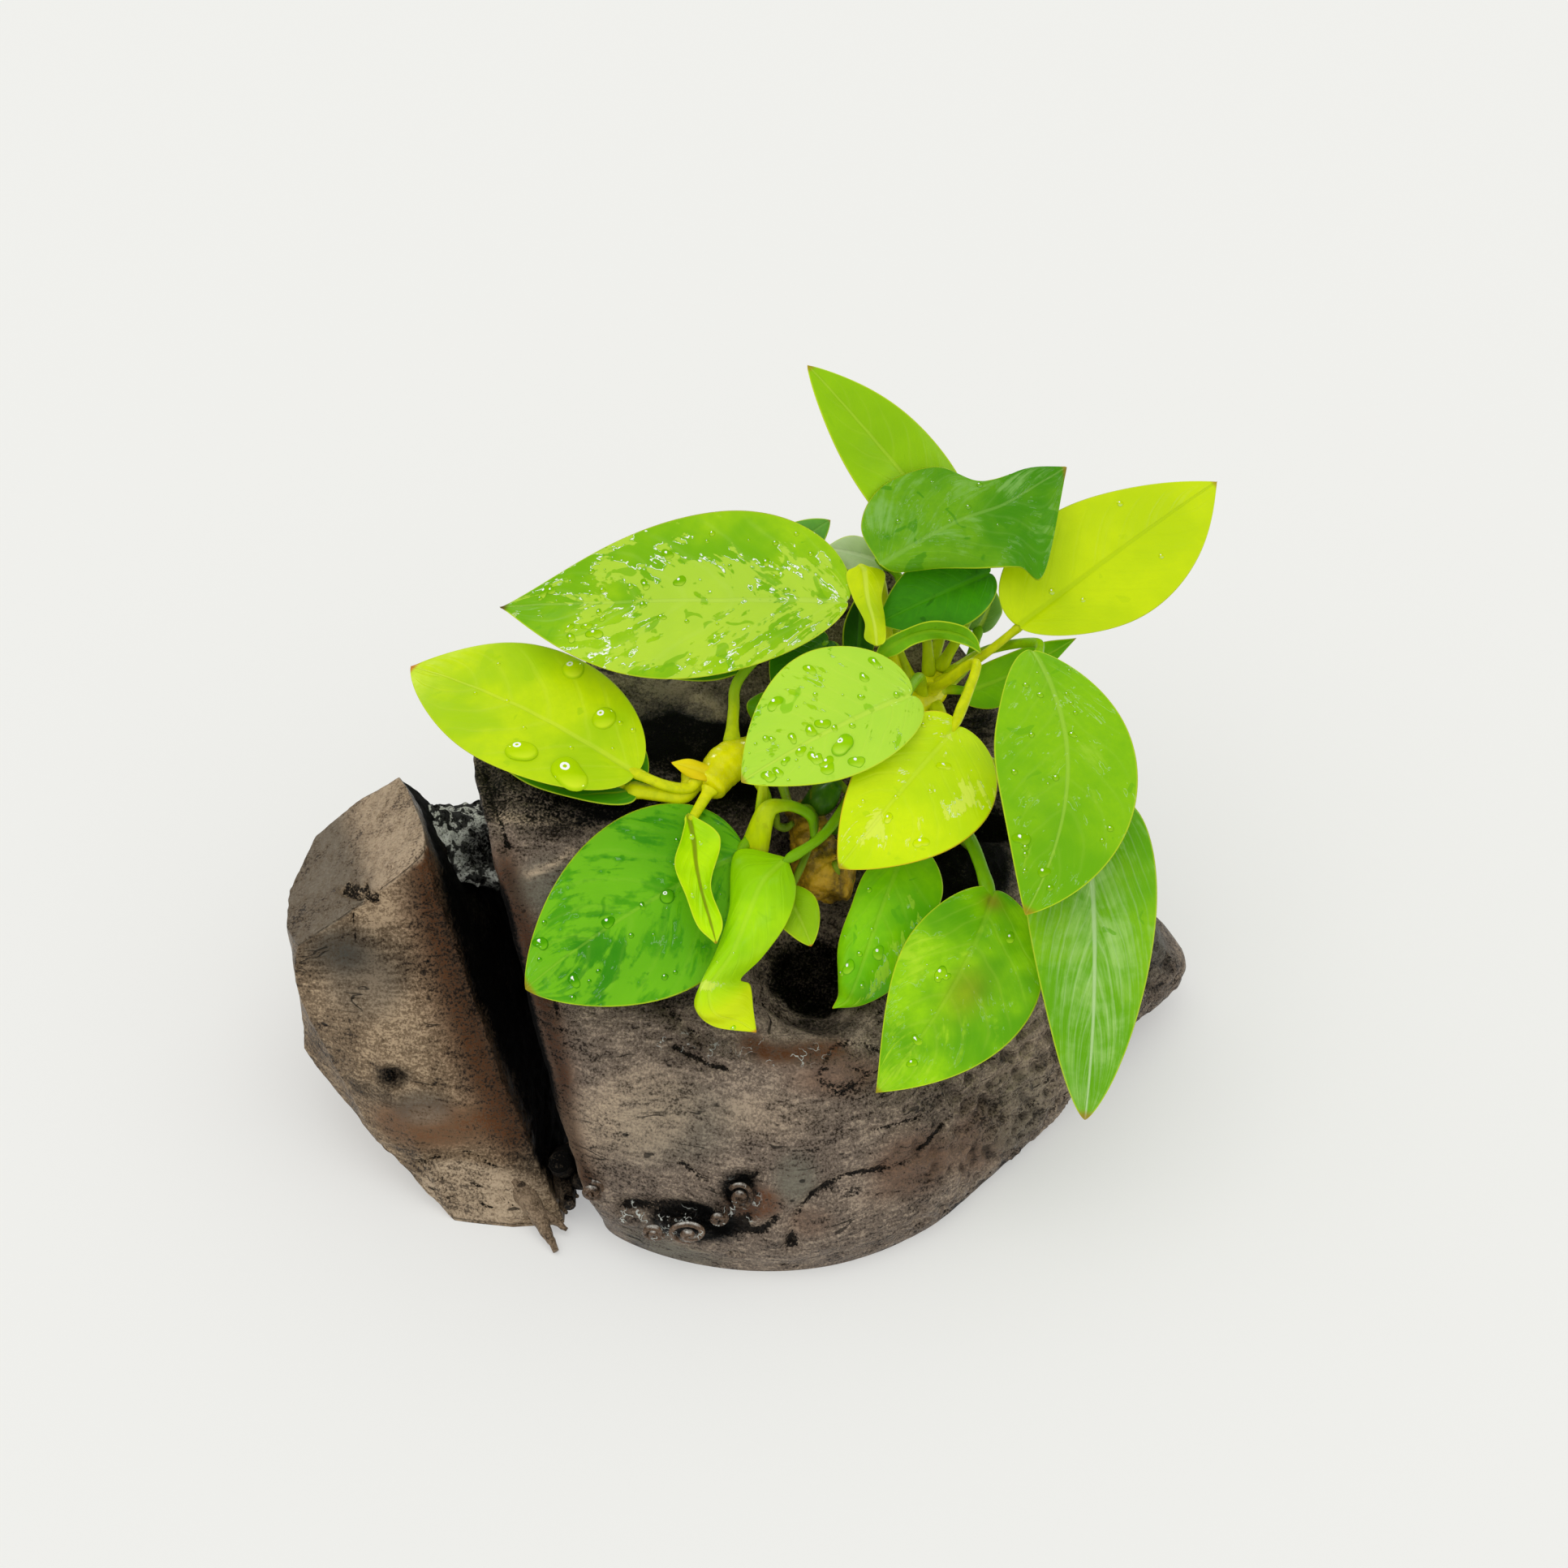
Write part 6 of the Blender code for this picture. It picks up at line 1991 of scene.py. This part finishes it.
    def drops(self, chance: np.random.Generator) -> list[Drop]:
        """Return the look's own beads, and the small ones and the ragged ones scattered between them.

        Args:
            chance: the leaf's random numbers.

        Returns:
            All its beads.
        """
        look = self.look
        small = chance.uniform((-0.85, 0.08, 0.22), (0.85, 0.92, 0.6), (look.beads, 3))
        ragged = chance.uniform((-0.8, 0.12, 0.5), (0.8, 0.88, 1.2), (look.ragged_beads, 3))
        return [*look.drops, *(Drop(*row, 0.5 * row[2]) for row in small),
                *(Drop(*row, 0.24, 1.7, 0.3) for row in ragged)]

    def bead(self, drop: Drop, skin: tuple[Array, ...], chance: np.random.Generator) -> Shell:
        """Return a low dome on the upper skin, with its place on the blade as marks.

        The mark bead runs from its top to its rim, a second mark from the side painted in shade to the side
        painted light, and a third places a painted highlight.

        Args:
            drop: the bead's place and sizes.
            skin: points, normals, across and along of the upper skin.
            chance: the leaf's random numbers.

        Returns:
            The dome.
        """
        top, outward, across, along = skin
        row = int(np.clip(np.abs(along[:, 0] - drop.along).argmin(), 2, len(top) - 3))
        column = int(np.clip(np.abs(across[0] - drop.across).argmin(), 2, top.shape[1] - 3))
        side = unit(top[row, column + 2] - top[row, column - 2])
        normal = unit(np.cross(side, top[row + 2, column] - top[row - 2, column]))
        normal = normal if np.dot(normal, outward[row, column]) > 0 else -normal
        ahead = np.cross(normal, side)
        big = drop.radius > self.big_bead
        rows, sides = (self.big_rows, self.big_sides) if big else (self.bead_rows, self.bead_sides)
        turns = np.arange(sides) * 2 * math.pi / sides
        start = chance.uniform(0, 2 * math.pi, 4)
        wavering = sum(np.cos(k * turns + start[k]) / k for k in (2, 3)) * drop.ragged
        reach = drop.radius * (1 + wavering)
        long_way = turns - start[0]
        reach = reach * np.sqrt(np.cos(long_way) ** 2 * drop.stretch + np.sin(long_way) ** 2 / drop.stretch)
        share = np.sin(np.linspace(math.pi / 2, 0.0, rows + 1)[:-1])[:, None]
        flat = (np.cos(turns)[:, None] * side + np.sin(turns)[:, None] * ahead) * reach[:, None]
        height = drop.height * np.sqrt(np.clip(1 - share ** 2, 0, 1)) - self.bead_sink
        centre = top[row, column]
        rings = centre + share[..., None] * flat[None] + height[..., None] * normal
        zero = np.zeros(rings.shape[:2])
        away = (rings - centre) / drop.radius
        painted_light_side = away @ unit(np.array(self.painted_bright_side))
        shine = np.array(self.painted_spark_side)
        shine = unit(shine - normal * np.dot(shine, normal)) * 0.45
        flat_away = away - normal * (away @ normal)[..., None]
        apart = np.linalg.norm(flat_away - shine, axis=-1)
        painted_spark = 1.35 * np.exp(-((apart - 0.2) / 0.07) ** 2 if big else -(apart / 0.22) ** 2)
        marks = {"across": zero + drop.across, "along": zero + drop.along, "off": zero + 3.0,
                 "inset": zero + 3.0, "side": zero + 1, "stain": zero, "wet": zero, "painted_light_side": painted_light_side,
                 "painted_spark": painted_spark, "bead": zero + 0.2 + 0.8 * share}
        foot = centre - normal * self.bead_sink
        return Shell(rings, foot, foot + normal * drop.height, marks)

    def build(self, finish: LeafFinish) -> Object:
        """Make the leaf's piece in place of its solid."""
        name = f"{self.name}_skin"
        mesh = joined(name, [shell.mesh(name) for shell in self.shells()])
        return place(name, mesh, finish.make(self.name, self.look), self.look.slot, (self.name,))


@dataclass(frozen=True)
class StemFinish:
    """A smooth green stem that shades from one colour at its foot to another at its end."""

    name: str
    foot: str
    end: str
    speck: str = "#8f7a1c"
    specks: float = 0.15

    def make(self) -> Material:
        """Build the material.

        Returns:
            The new material.
        """
        made, graph, shader = new_material(self.name)
        along = graph.mark("along")
        lines = graph.noise(graph.place((1.0, 1.0, 0.25)), 900.0, 2.0)
        flecks = graph.step(graph.noise(graph.place(), 700.0, 2.0), 0.62, 0.7)
        colour = graph.coats(self.foot, ((graph.step(along, 0.05, 0.7), self.end),
                                         (graph.scaled(lines, 0.4, 0.7, 0.0, 0.25), "#6d9a06"),
                                         (graph.times(flecks, self.specks), self.speck)))
        rough = graph.scaled(lines, 0.3, 0.7, 0.28, 0.42)
        graph.dress(shader, colour, rough, lines, 0.00015, 0.5, 0.2, (0.1, (1.0, 0.9, 0.2), 0.0015))
        return made


@dataclass(frozen=True)
class Rhizome:
    """The creeping stem, its old brown end, the scale at its tip and its roots."""

    path: tuple = ((-5.5, -1.4, 59.3), (0, 5, 61), (10, 9, 58), (21, 16, 57.5), (32, 25, 58), (35, 29, 60))
    radii: tuple = (3.1, 3.5, 2.9, 2.8, 3.4, 2.4)
    old_path: tuple = ((20, -8, 45.5), (15, -7, 45.8), (12.5, -2, 49.5), (11, 3, 53))
    old_radii: tuple = (3.0, 4.6, 3.6, 2.6)
    rings: int = 7
    old_rings: int = 3
    ring_depth: float = 0.02
    round_end: float = 0.045
    stalk_sheath: float = 0.5
    stalk_swelling: float = 0.18
    stalk_thinning: float = 0.3
    root_waver: float = 0.25
    root_seed: int = 5
    rows: int = 170
    sides: int = 56

    def spine(self, samples: int) -> tuple[Array, Array]:
        """Return points and radii along the creeping stem."""
        return curve_through(self.path, samples), curve_through(self.radii, samples)

    def stem(self, path: tuple, radii: tuple, rings: int, lumps: float, seed: int) -> Shell:
        """Return a knobbly stem: its radius follows the leaf scars as a cosine, with round ends and lumps.

        Args:
            path: points along its middle.
            radii: radii along it.
            rings: how many scars it has.
            lumps: the height of its lumps.
            seed: what sets its lumps apart.

        Returns:
            The stem. Its mark scar is 1 in a scar.
        """
        share = np.linspace(0.0, 1.0, self.rows)
        points = curve_through(path, self.rows)
        scars = np.cos(2 * math.pi * rings * share)
        radius = curve_through(radii, self.rows) * (1 + self.ring_depth * scars)
        end = np.minimum(share, 1 - share)
        radius = radius * np.sqrt(np.clip(1 - (1 - end / self.round_end).clip(0, 1) ** 2, 0.02, 1))
        shell = tube(points, radius, self.sides)
        noise = Noise(seed)
        bumps = lumps * noise.layered(shell.rings / 2.6, 3)
        fine = np.cos(2 * math.pi * rings * 4 * share)[:, None] * 0.03
        ends = smooth_step(0.0, 0.05, end)[:, None]
        shell.rings = shell.rings + ring_normals(shell.rings) * ((bumps + fine) * ends)[..., None]
        shell.marks["scar"] = np.repeat(smooth_step(0.2, -1.0, scars)[:, None], self.sides, axis=1)
        return shell

    def stalk(self, blade: Blade, samples: int = 40, sides: int = 14) -> Shell:
        """Return the stalk of a blade, from inside the rhizome to the blade's midrib.

        It thins towards the blade, with a sheath at its foot and a slight swelling below the blade.

        Args:
            blade: the blade that it carries.
            samples: how many sections it has.
            sides: how many points a section has.

        Returns:
            The stalk.
        """
        path, radii = self.spine(101)
        index = int(round(blade.station * 100))
        origin = path[index]
        sheet, normals = blade.sheet(15, np.linspace(-1, 1, 3))
        base = sheet[0, 1]
        along = unit(sheet[2, 1] - base)
        target = np.array(blade.via[0] if blade.via else base, float)
        stem = unit(path[min(index + 1, 100)] - path[max(index - 1, 0)])
        outward = unit(target - origin - stem * np.dot(target - origin, stem))
        start = origin + outward * radii[index] * 0.8
        end = base + along * 1.6 - normals[1, 1] * 0.35 * blade.stalk
        points = curve_through([start, *blade.via, end], samples)
        share = np.linspace(0.0, 1.0, samples)
        radius = blade.stalk * (1.1 - self.stalk_thinning * share
                                + self.stalk_sheath * np.exp(-(share / 0.09) ** 2)
                                + self.stalk_swelling * np.exp(-((share - 0.9) / 0.05) ** 2))
        radius = radius * (1 - 0.55 * smooth_step(0.95, 1.0, share))
        turns = np.arange(sides) * 2 * math.pi / sides
        flat = 1 + 0.1 * np.cos(2 * turns)
        return tube(points, radius[:, None] * flat[None], sides)

    def sheath(self, points: tuple, radii: tuple, samples: int = 50, sides: int = 16) -> Shell:
        """Return a curled sheath: a flattened tube whose radius follows the given ones."""
        turns = np.arange(sides) * 2 * math.pi / sides
        radius = curve_through(radii, samples)[:, None]
        return tube(curve_through(points, samples), radius * (1 + 0.2 * np.cos(2 * turns)), sides)

    def root(self, points: tuple, radius: float, samples: int = 40, sides: int = 10) -> Shell:
        """Return a root that thins to its end and wavers a little.

        Args:
            points: points along it.
            radius: its radius at the start.
            samples: how many sections it has.
            sides: how many points a section has.

        Returns:
            The root.
        """
        path = curve_through(points, samples)
        share = np.linspace(0.0, 1.0, samples)
        noise = Noise(self.root_seed)
        waver = np.stack([noise.smooth(path / 3.0 + k) for k in (0.0, 7.0, 15.0)], axis=-1)
        path = path + self.root_waver * waver * np.sin(math.pi * share)[:, None]
        return tube(path, radius * (1 - 0.45 * share), sides)


@dataclass(frozen=True)
class RhizomeFinish:
    """Ringed skin of the rhizome, with darker scars and small warts."""

    name: str
    skin: str
    light: str
    scar: str
    rough: float
    relief: float

    def make(self) -> Material:
        """Build the material.

        Returns:
            The new material.
        """
        made, graph, shader = new_material(self.name)
        cloud = graph.noise(graph.place(), 260.0, 4.0, 0.65)
        grain = graph.noise(graph.place(), 1400.0, 3.0, 0.6)
        share = graph.times(graph.mark("scar"), graph.scaled(grain, 0.35, 0.65, 0.225, 0.75))
        colour = graph.coats(self.skin, ((graph.step(cloud, 0.38, 0.62), self.light), (share, self.scar)))
        rough = graph.scaled(grain, 0.3, 0.7, self.rough - 0.1, self.rough + 0.12)
        height = graph.math("ADD", graph.times(cloud, 0.7), graph.times(grain, 0.3))
        graph.dress(shader, colour, rough, height, self.relief, 0.8, depth=(0.1, (1.0, 0.8, 0.2), 0.0015))
        return made


@dataclass(frozen=True)
class Studio:
    """The pale floor, the soft light and the camera at the photograph's angle. Sizes are in metres."""

    target: Point = (0.008, 0.013, 0.048)
    distance: float = 0.640
    elevation: float = 42.0
    lens: float = 85.0
    sensor: float = 36.0
    floor_side: float = 12.0
    floor_colour: str = "#bdbdb9"
    floor_glow: float = 0.345
    sky: float = 0.84
    sky_in_gloss: float = 0.07
    sun: float = 0.68
    sun_angle: float = 60.0
    sun_from: Point = (-0.1, -0.3, 1.0)
    softbox_places: tuple = ((-0.35, 0.62, 0.45), (0.3, 0.6, 0.5), (-0.62, -0.25, 0.5), (0.6, -0.05, 0.55))
    softbox_side: float = 0.07
    softbox_power: float = 0.5

    def floor(self) -> None:
        """Lay the floor."""
        half = self.floor_side / 2
        corners = [(-half, -half, 0), (half, -half, 0), (half, half, 0), (-half, half, 0)]
        mesh = bpy.data.meshes.new("floor")
        mesh.from_pydata(corners, [], [(0, 1, 2, 3)])
        finish, _, shader = new_material("floor_white")
        shader.inputs["Base Color"].default_value = linear(self.floor_colour)
        shader.inputs["Emission Color"].default_value = linear("#ffffff")
        shader.inputs["Emission Strength"].default_value = self.floor_glow
        shader.inputs["Roughness"].default_value = 0.9
        shader.inputs["Specular IOR Level"].default_value = 0.1
        mesh.materials.append(finish)
        into_scene("floor", mesh)

    def lights(self) -> None:
        """Set an even white sky that gloss sees darker, a broad sun, and small softboxes seen in gloss."""
        scene = bpy.context.scene
        scene.world = scene.world or bpy.data.worlds.new("sky")
        scene.world.use_nodes = True
        sky = scene.world.node_tree.nodes["Background"]
        sky.inputs["Color"].default_value = (1.0, 1.0, 0.985, 1.0)
        graph = Graph(scene.world.node_tree)
        gloss = graph.add("ShaderNodeLightPath").outputs["Is Glossy Ray"]
        graph.feed(sky.inputs["Strength"], graph.scaled(gloss, 0.0, 1.0, self.sky, self.sky_in_gloss))
        sun = bpy.data.lights.new("sun", "SUN")
        sun.energy = self.sun
        sun.angle = math.radians(self.sun_angle)
        sun_object = into_scene("sun", sun)
        sun_object.rotation_euler = Vector(self.sun_from).to_track_quat("Z", "Y").to_euler()
        sun_object.visible_glossy = False
        for spot in self.softbox_places:
            light = bpy.data.lights.new("softbox", "AREA")
            light.shape = "SQUARE"
            light.size = self.softbox_side
            light.energy = self.softbox_power
            box = into_scene("softbox", light)
            box.location = spot
            box.rotation_euler = (Vector(spot) - Vector(self.target)).to_track_quat("Z", "Y").to_euler()
            box.visible_diffuse = False
        scene.view_settings.view_transform = "Standard"

    def camera(self) -> None:
        """Place the camera and make it the scene's own."""
        lens = bpy.data.cameras.new("camera")
        lens.lens = self.lens
        lens.sensor_width = self.sensor
        lens.clip_start = 0.01
        camera = into_scene("camera", lens)
        tilt = math.radians(self.elevation)
        back = Vector((0.0, -math.cos(tilt), math.sin(tilt)))
        camera.location = Vector(self.target) + back * self.distance
        camera.rotation_euler = back.to_track_quat("Z", "Y").to_euler()
        bpy.context.scene.camera = camera


ROOTS = {
    "root_middle": ((15, 9.5, 54.7), (19.5, 3, 54), (20, -2, 53.5), (17.5, -6, 51.6)),
    "root_right": ((28, 18, 54.5), (33, 12, 50), (36, 4, 46), (40, 1, 43.5)),
}
ROOT_RADIUS = 0.75

# Curled sheaths round the crown, by finish: points and radii along each.
SHEATHS = {
    "green": (
        (((3.1, -9, 53.5), (5.1, -8, 60.7), (7.9, -7, 61.2), (10.6, -6.5, 60), (12.6, -6.5, 57.9),
          (13, -7, 54.3)), (2.1, 1.4, 0.9, 0.8, 0.8, 0.6)),
        (((4.6, -3, 64), (4.2, -6, 58), (3.4, -7, 54)), (0.6, 1.1, 0.5)),
    ),
    "dim": (
        (((6.5, -4, 56.5), (6.8, -4, 54.1), (8.3, -4, 53.4), (9.5, -4, 54.4)), (0.8, 0.8, 0.8, 0.6)),
        (((16.5, -9, 50), (17.5, -9.5, 47.5), (19.5, -9, 46)), (0.7, 0.7, 0.5)),
    ),
    # Sheaths in the shade between the leaves: their darker green is painted shade.
    "dark": (
        (((17, -1, 61), (14.5, -1.5, 58), (11, -1, 54.5)), (1.4, 3.0, 1.2)),
        (((22, -4, 59), (18, -5, 55.5), (15, -4, 53)), (1.0, 1.6, 0.8)),
    ),
}

SCALE_LEAF = FlatBlade((-3.2, -0.5, 61.8), (-10.9, 0.6, 64), (0, -0.5, 0.87), 3.4, 0.1, bow=0.6, fold=6,
                       lobe=0.4)


@dataclass(frozen=True)
class DriftwoodSet:
    """Both pieces of wood with the torn splinters between them."""

    cleft: Cleft = Cleft()
    finish: WoodFinish = WoodFinish("wet_driftwood")
    fork_finish: WoodFinish = WoodFinish("worn_driftwood", deep="#2a2018", middle="#7c6850", light="#baa283",
                                         reddish="#704626", cool="#434a48")
    torn_finish: WoodFinish = WoodFinish("torn_wood", deep="#12100c", middle="#7c7a70", light="#f0f2e6",
                                         worn="#e4e6da")
    # The knots' near-white worn colour is the painted highlight along their tops.
    knot_finish: WoodFinish = WoodFinish("glossy_knots", middle="#6f5c4a", light="#a8927c", worn="#fffdf4")

    def build(self) -> None:
        """Make the trunk, the fork, the web, the splinters and the knots."""
        grain = wood_grain_group()
        finish = self.finish.make(grain)
        fork_finish = self.fork_finish.make(grain)
        place("trunk_wood", Trunk(self.cleft).shell().mesh("trunk_wood"), finish, Slot.WOOD,
              ("driftwood_trunk",))
        fork = Fork(self.cleft).shell()
        place("left_fork_wood", fork.mesh("left_fork_wood"), fork_finish, Slot.WOOD, ("driftwood_left_fork",))
        place("web_wood", Web().shell().mesh("web_wood"), self.torn_finish.make(grain), Slot.WOOD)
        knots = [shell.mesh("knot") for shell in Whorls().shells()]
        place("foot_knots", joined("foot_knots", knots), self.knot_finish.make(grain), Slot.WOOD)
        splinters = [shell.mesh("splinter") for shell in Splinters().shells()]
        place("torn_splinters", joined("torn_splinters", splinters), fork_finish, Slot.WOOD)


@dataclass(frozen=True)
class Plant:
    """The whole plant: rhizome, roots, stalks and leaves."""

    rhizome: Rhizome = Rhizome()
    young: RhizomeFinish = RhizomeFinish("rhizome_skin", "#ebea02", "#fdf806", "#d2d004", 0.22, 0.0002)
    old: RhizomeFinish = RhizomeFinish("old_rhizome_skin", "#8c6c0c", "#dcae24", "#1c1503", 0.4, 0.0012)
    green: StemFinish = StemFinish("stalk_green", "#cfdf06", "#7fb604")
    yellow: StemFinish = StemFinish("stalk_yellow", "#e8e808", "#d8e004")
    dim: StemFinish = StemFinish("root_green", "#8aa81a", "#6f8a18", specks=0.5)
    # The sheaths' darker green is painted shade.
    dark: StemFinish = StemFinish("sheath_dark", "#3c6e08", "#2a5206", specks=0.3)

    def build(self) -> None:
        """Make every piece of the plant."""
        stem = self.rhizome
        young = stem.stem(stem.path, stem.radii, stem.rings, 0.15, 11)
        place("rhizome_stem", young.mesh("rhizome_stem"), self.young.make(), Slot.RHIZOME, ("rhizome",))
        old = stem.stem(stem.old_path, stem.old_radii, stem.old_rings, 0.8, 12)
        place("rhizome_old_stem", old.mesh("rhizome_old_stem"), self.old.make(), Slot.OLD_RHIZOME,
              ("rhizome_old_end",))
        skins_of = {"green": self.green.make(), "yellow": self.yellow.make(), "dim": self.dim.make(),
                    "dark": self.dark.make()}
        for name, points in ROOTS.items():
            root = stem.root(points, ROOT_RADIUS).mesh(name)
            place(f"{name}_skin", root, skins_of["dim"], Slot.STALK, (name,))
        for kind, curls in SHEATHS.items():
            meshes = [stem.sheath(points, radii).mesh("sheath") for points, radii in curls]
            place(f"{kind}_sheaths", joined("sheaths", meshes), skins_of[kind], Slot.STALK)
        skins = LeafFinish(leaf_veins_group(), wet_film_group())
        Leaf("scale_leaf", SCALE_LEAF, SCALE_LOOK).build(skins)
        for name, blade in BLADES.items():
            look = LOOKS[name]
            Leaf(f"leaf_{name}", blade, look).build(skins)
            stalk = f"stalk_{name}"
            nodes = () if blade.fused else (stalk,)
            kind = look.stalk or ("yellow" if look.slot is Slot.YELLOW else "green")
            place(f"{stalk}_stem", stem.stalk(blade).mesh(stalk), skins_of[kind], Slot.STALK, nodes)


def corners(bounds: tuple) -> list[list[float]]:
    """Return a box's two corners as plain lists."""
    return [[float(value) for value in corner] for corner in bounds]


def main() -> None:
    """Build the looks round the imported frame."""
    logging.basicConfig(level=logging.INFO, format="%(name)s: %(message)s")
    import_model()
    studio = Studio()
    studio.floor()
    studio.lights()
    studio.camera()
    DriftwoodSet().build()
    Plant().build()


if __name__ == "__main__":
    main()
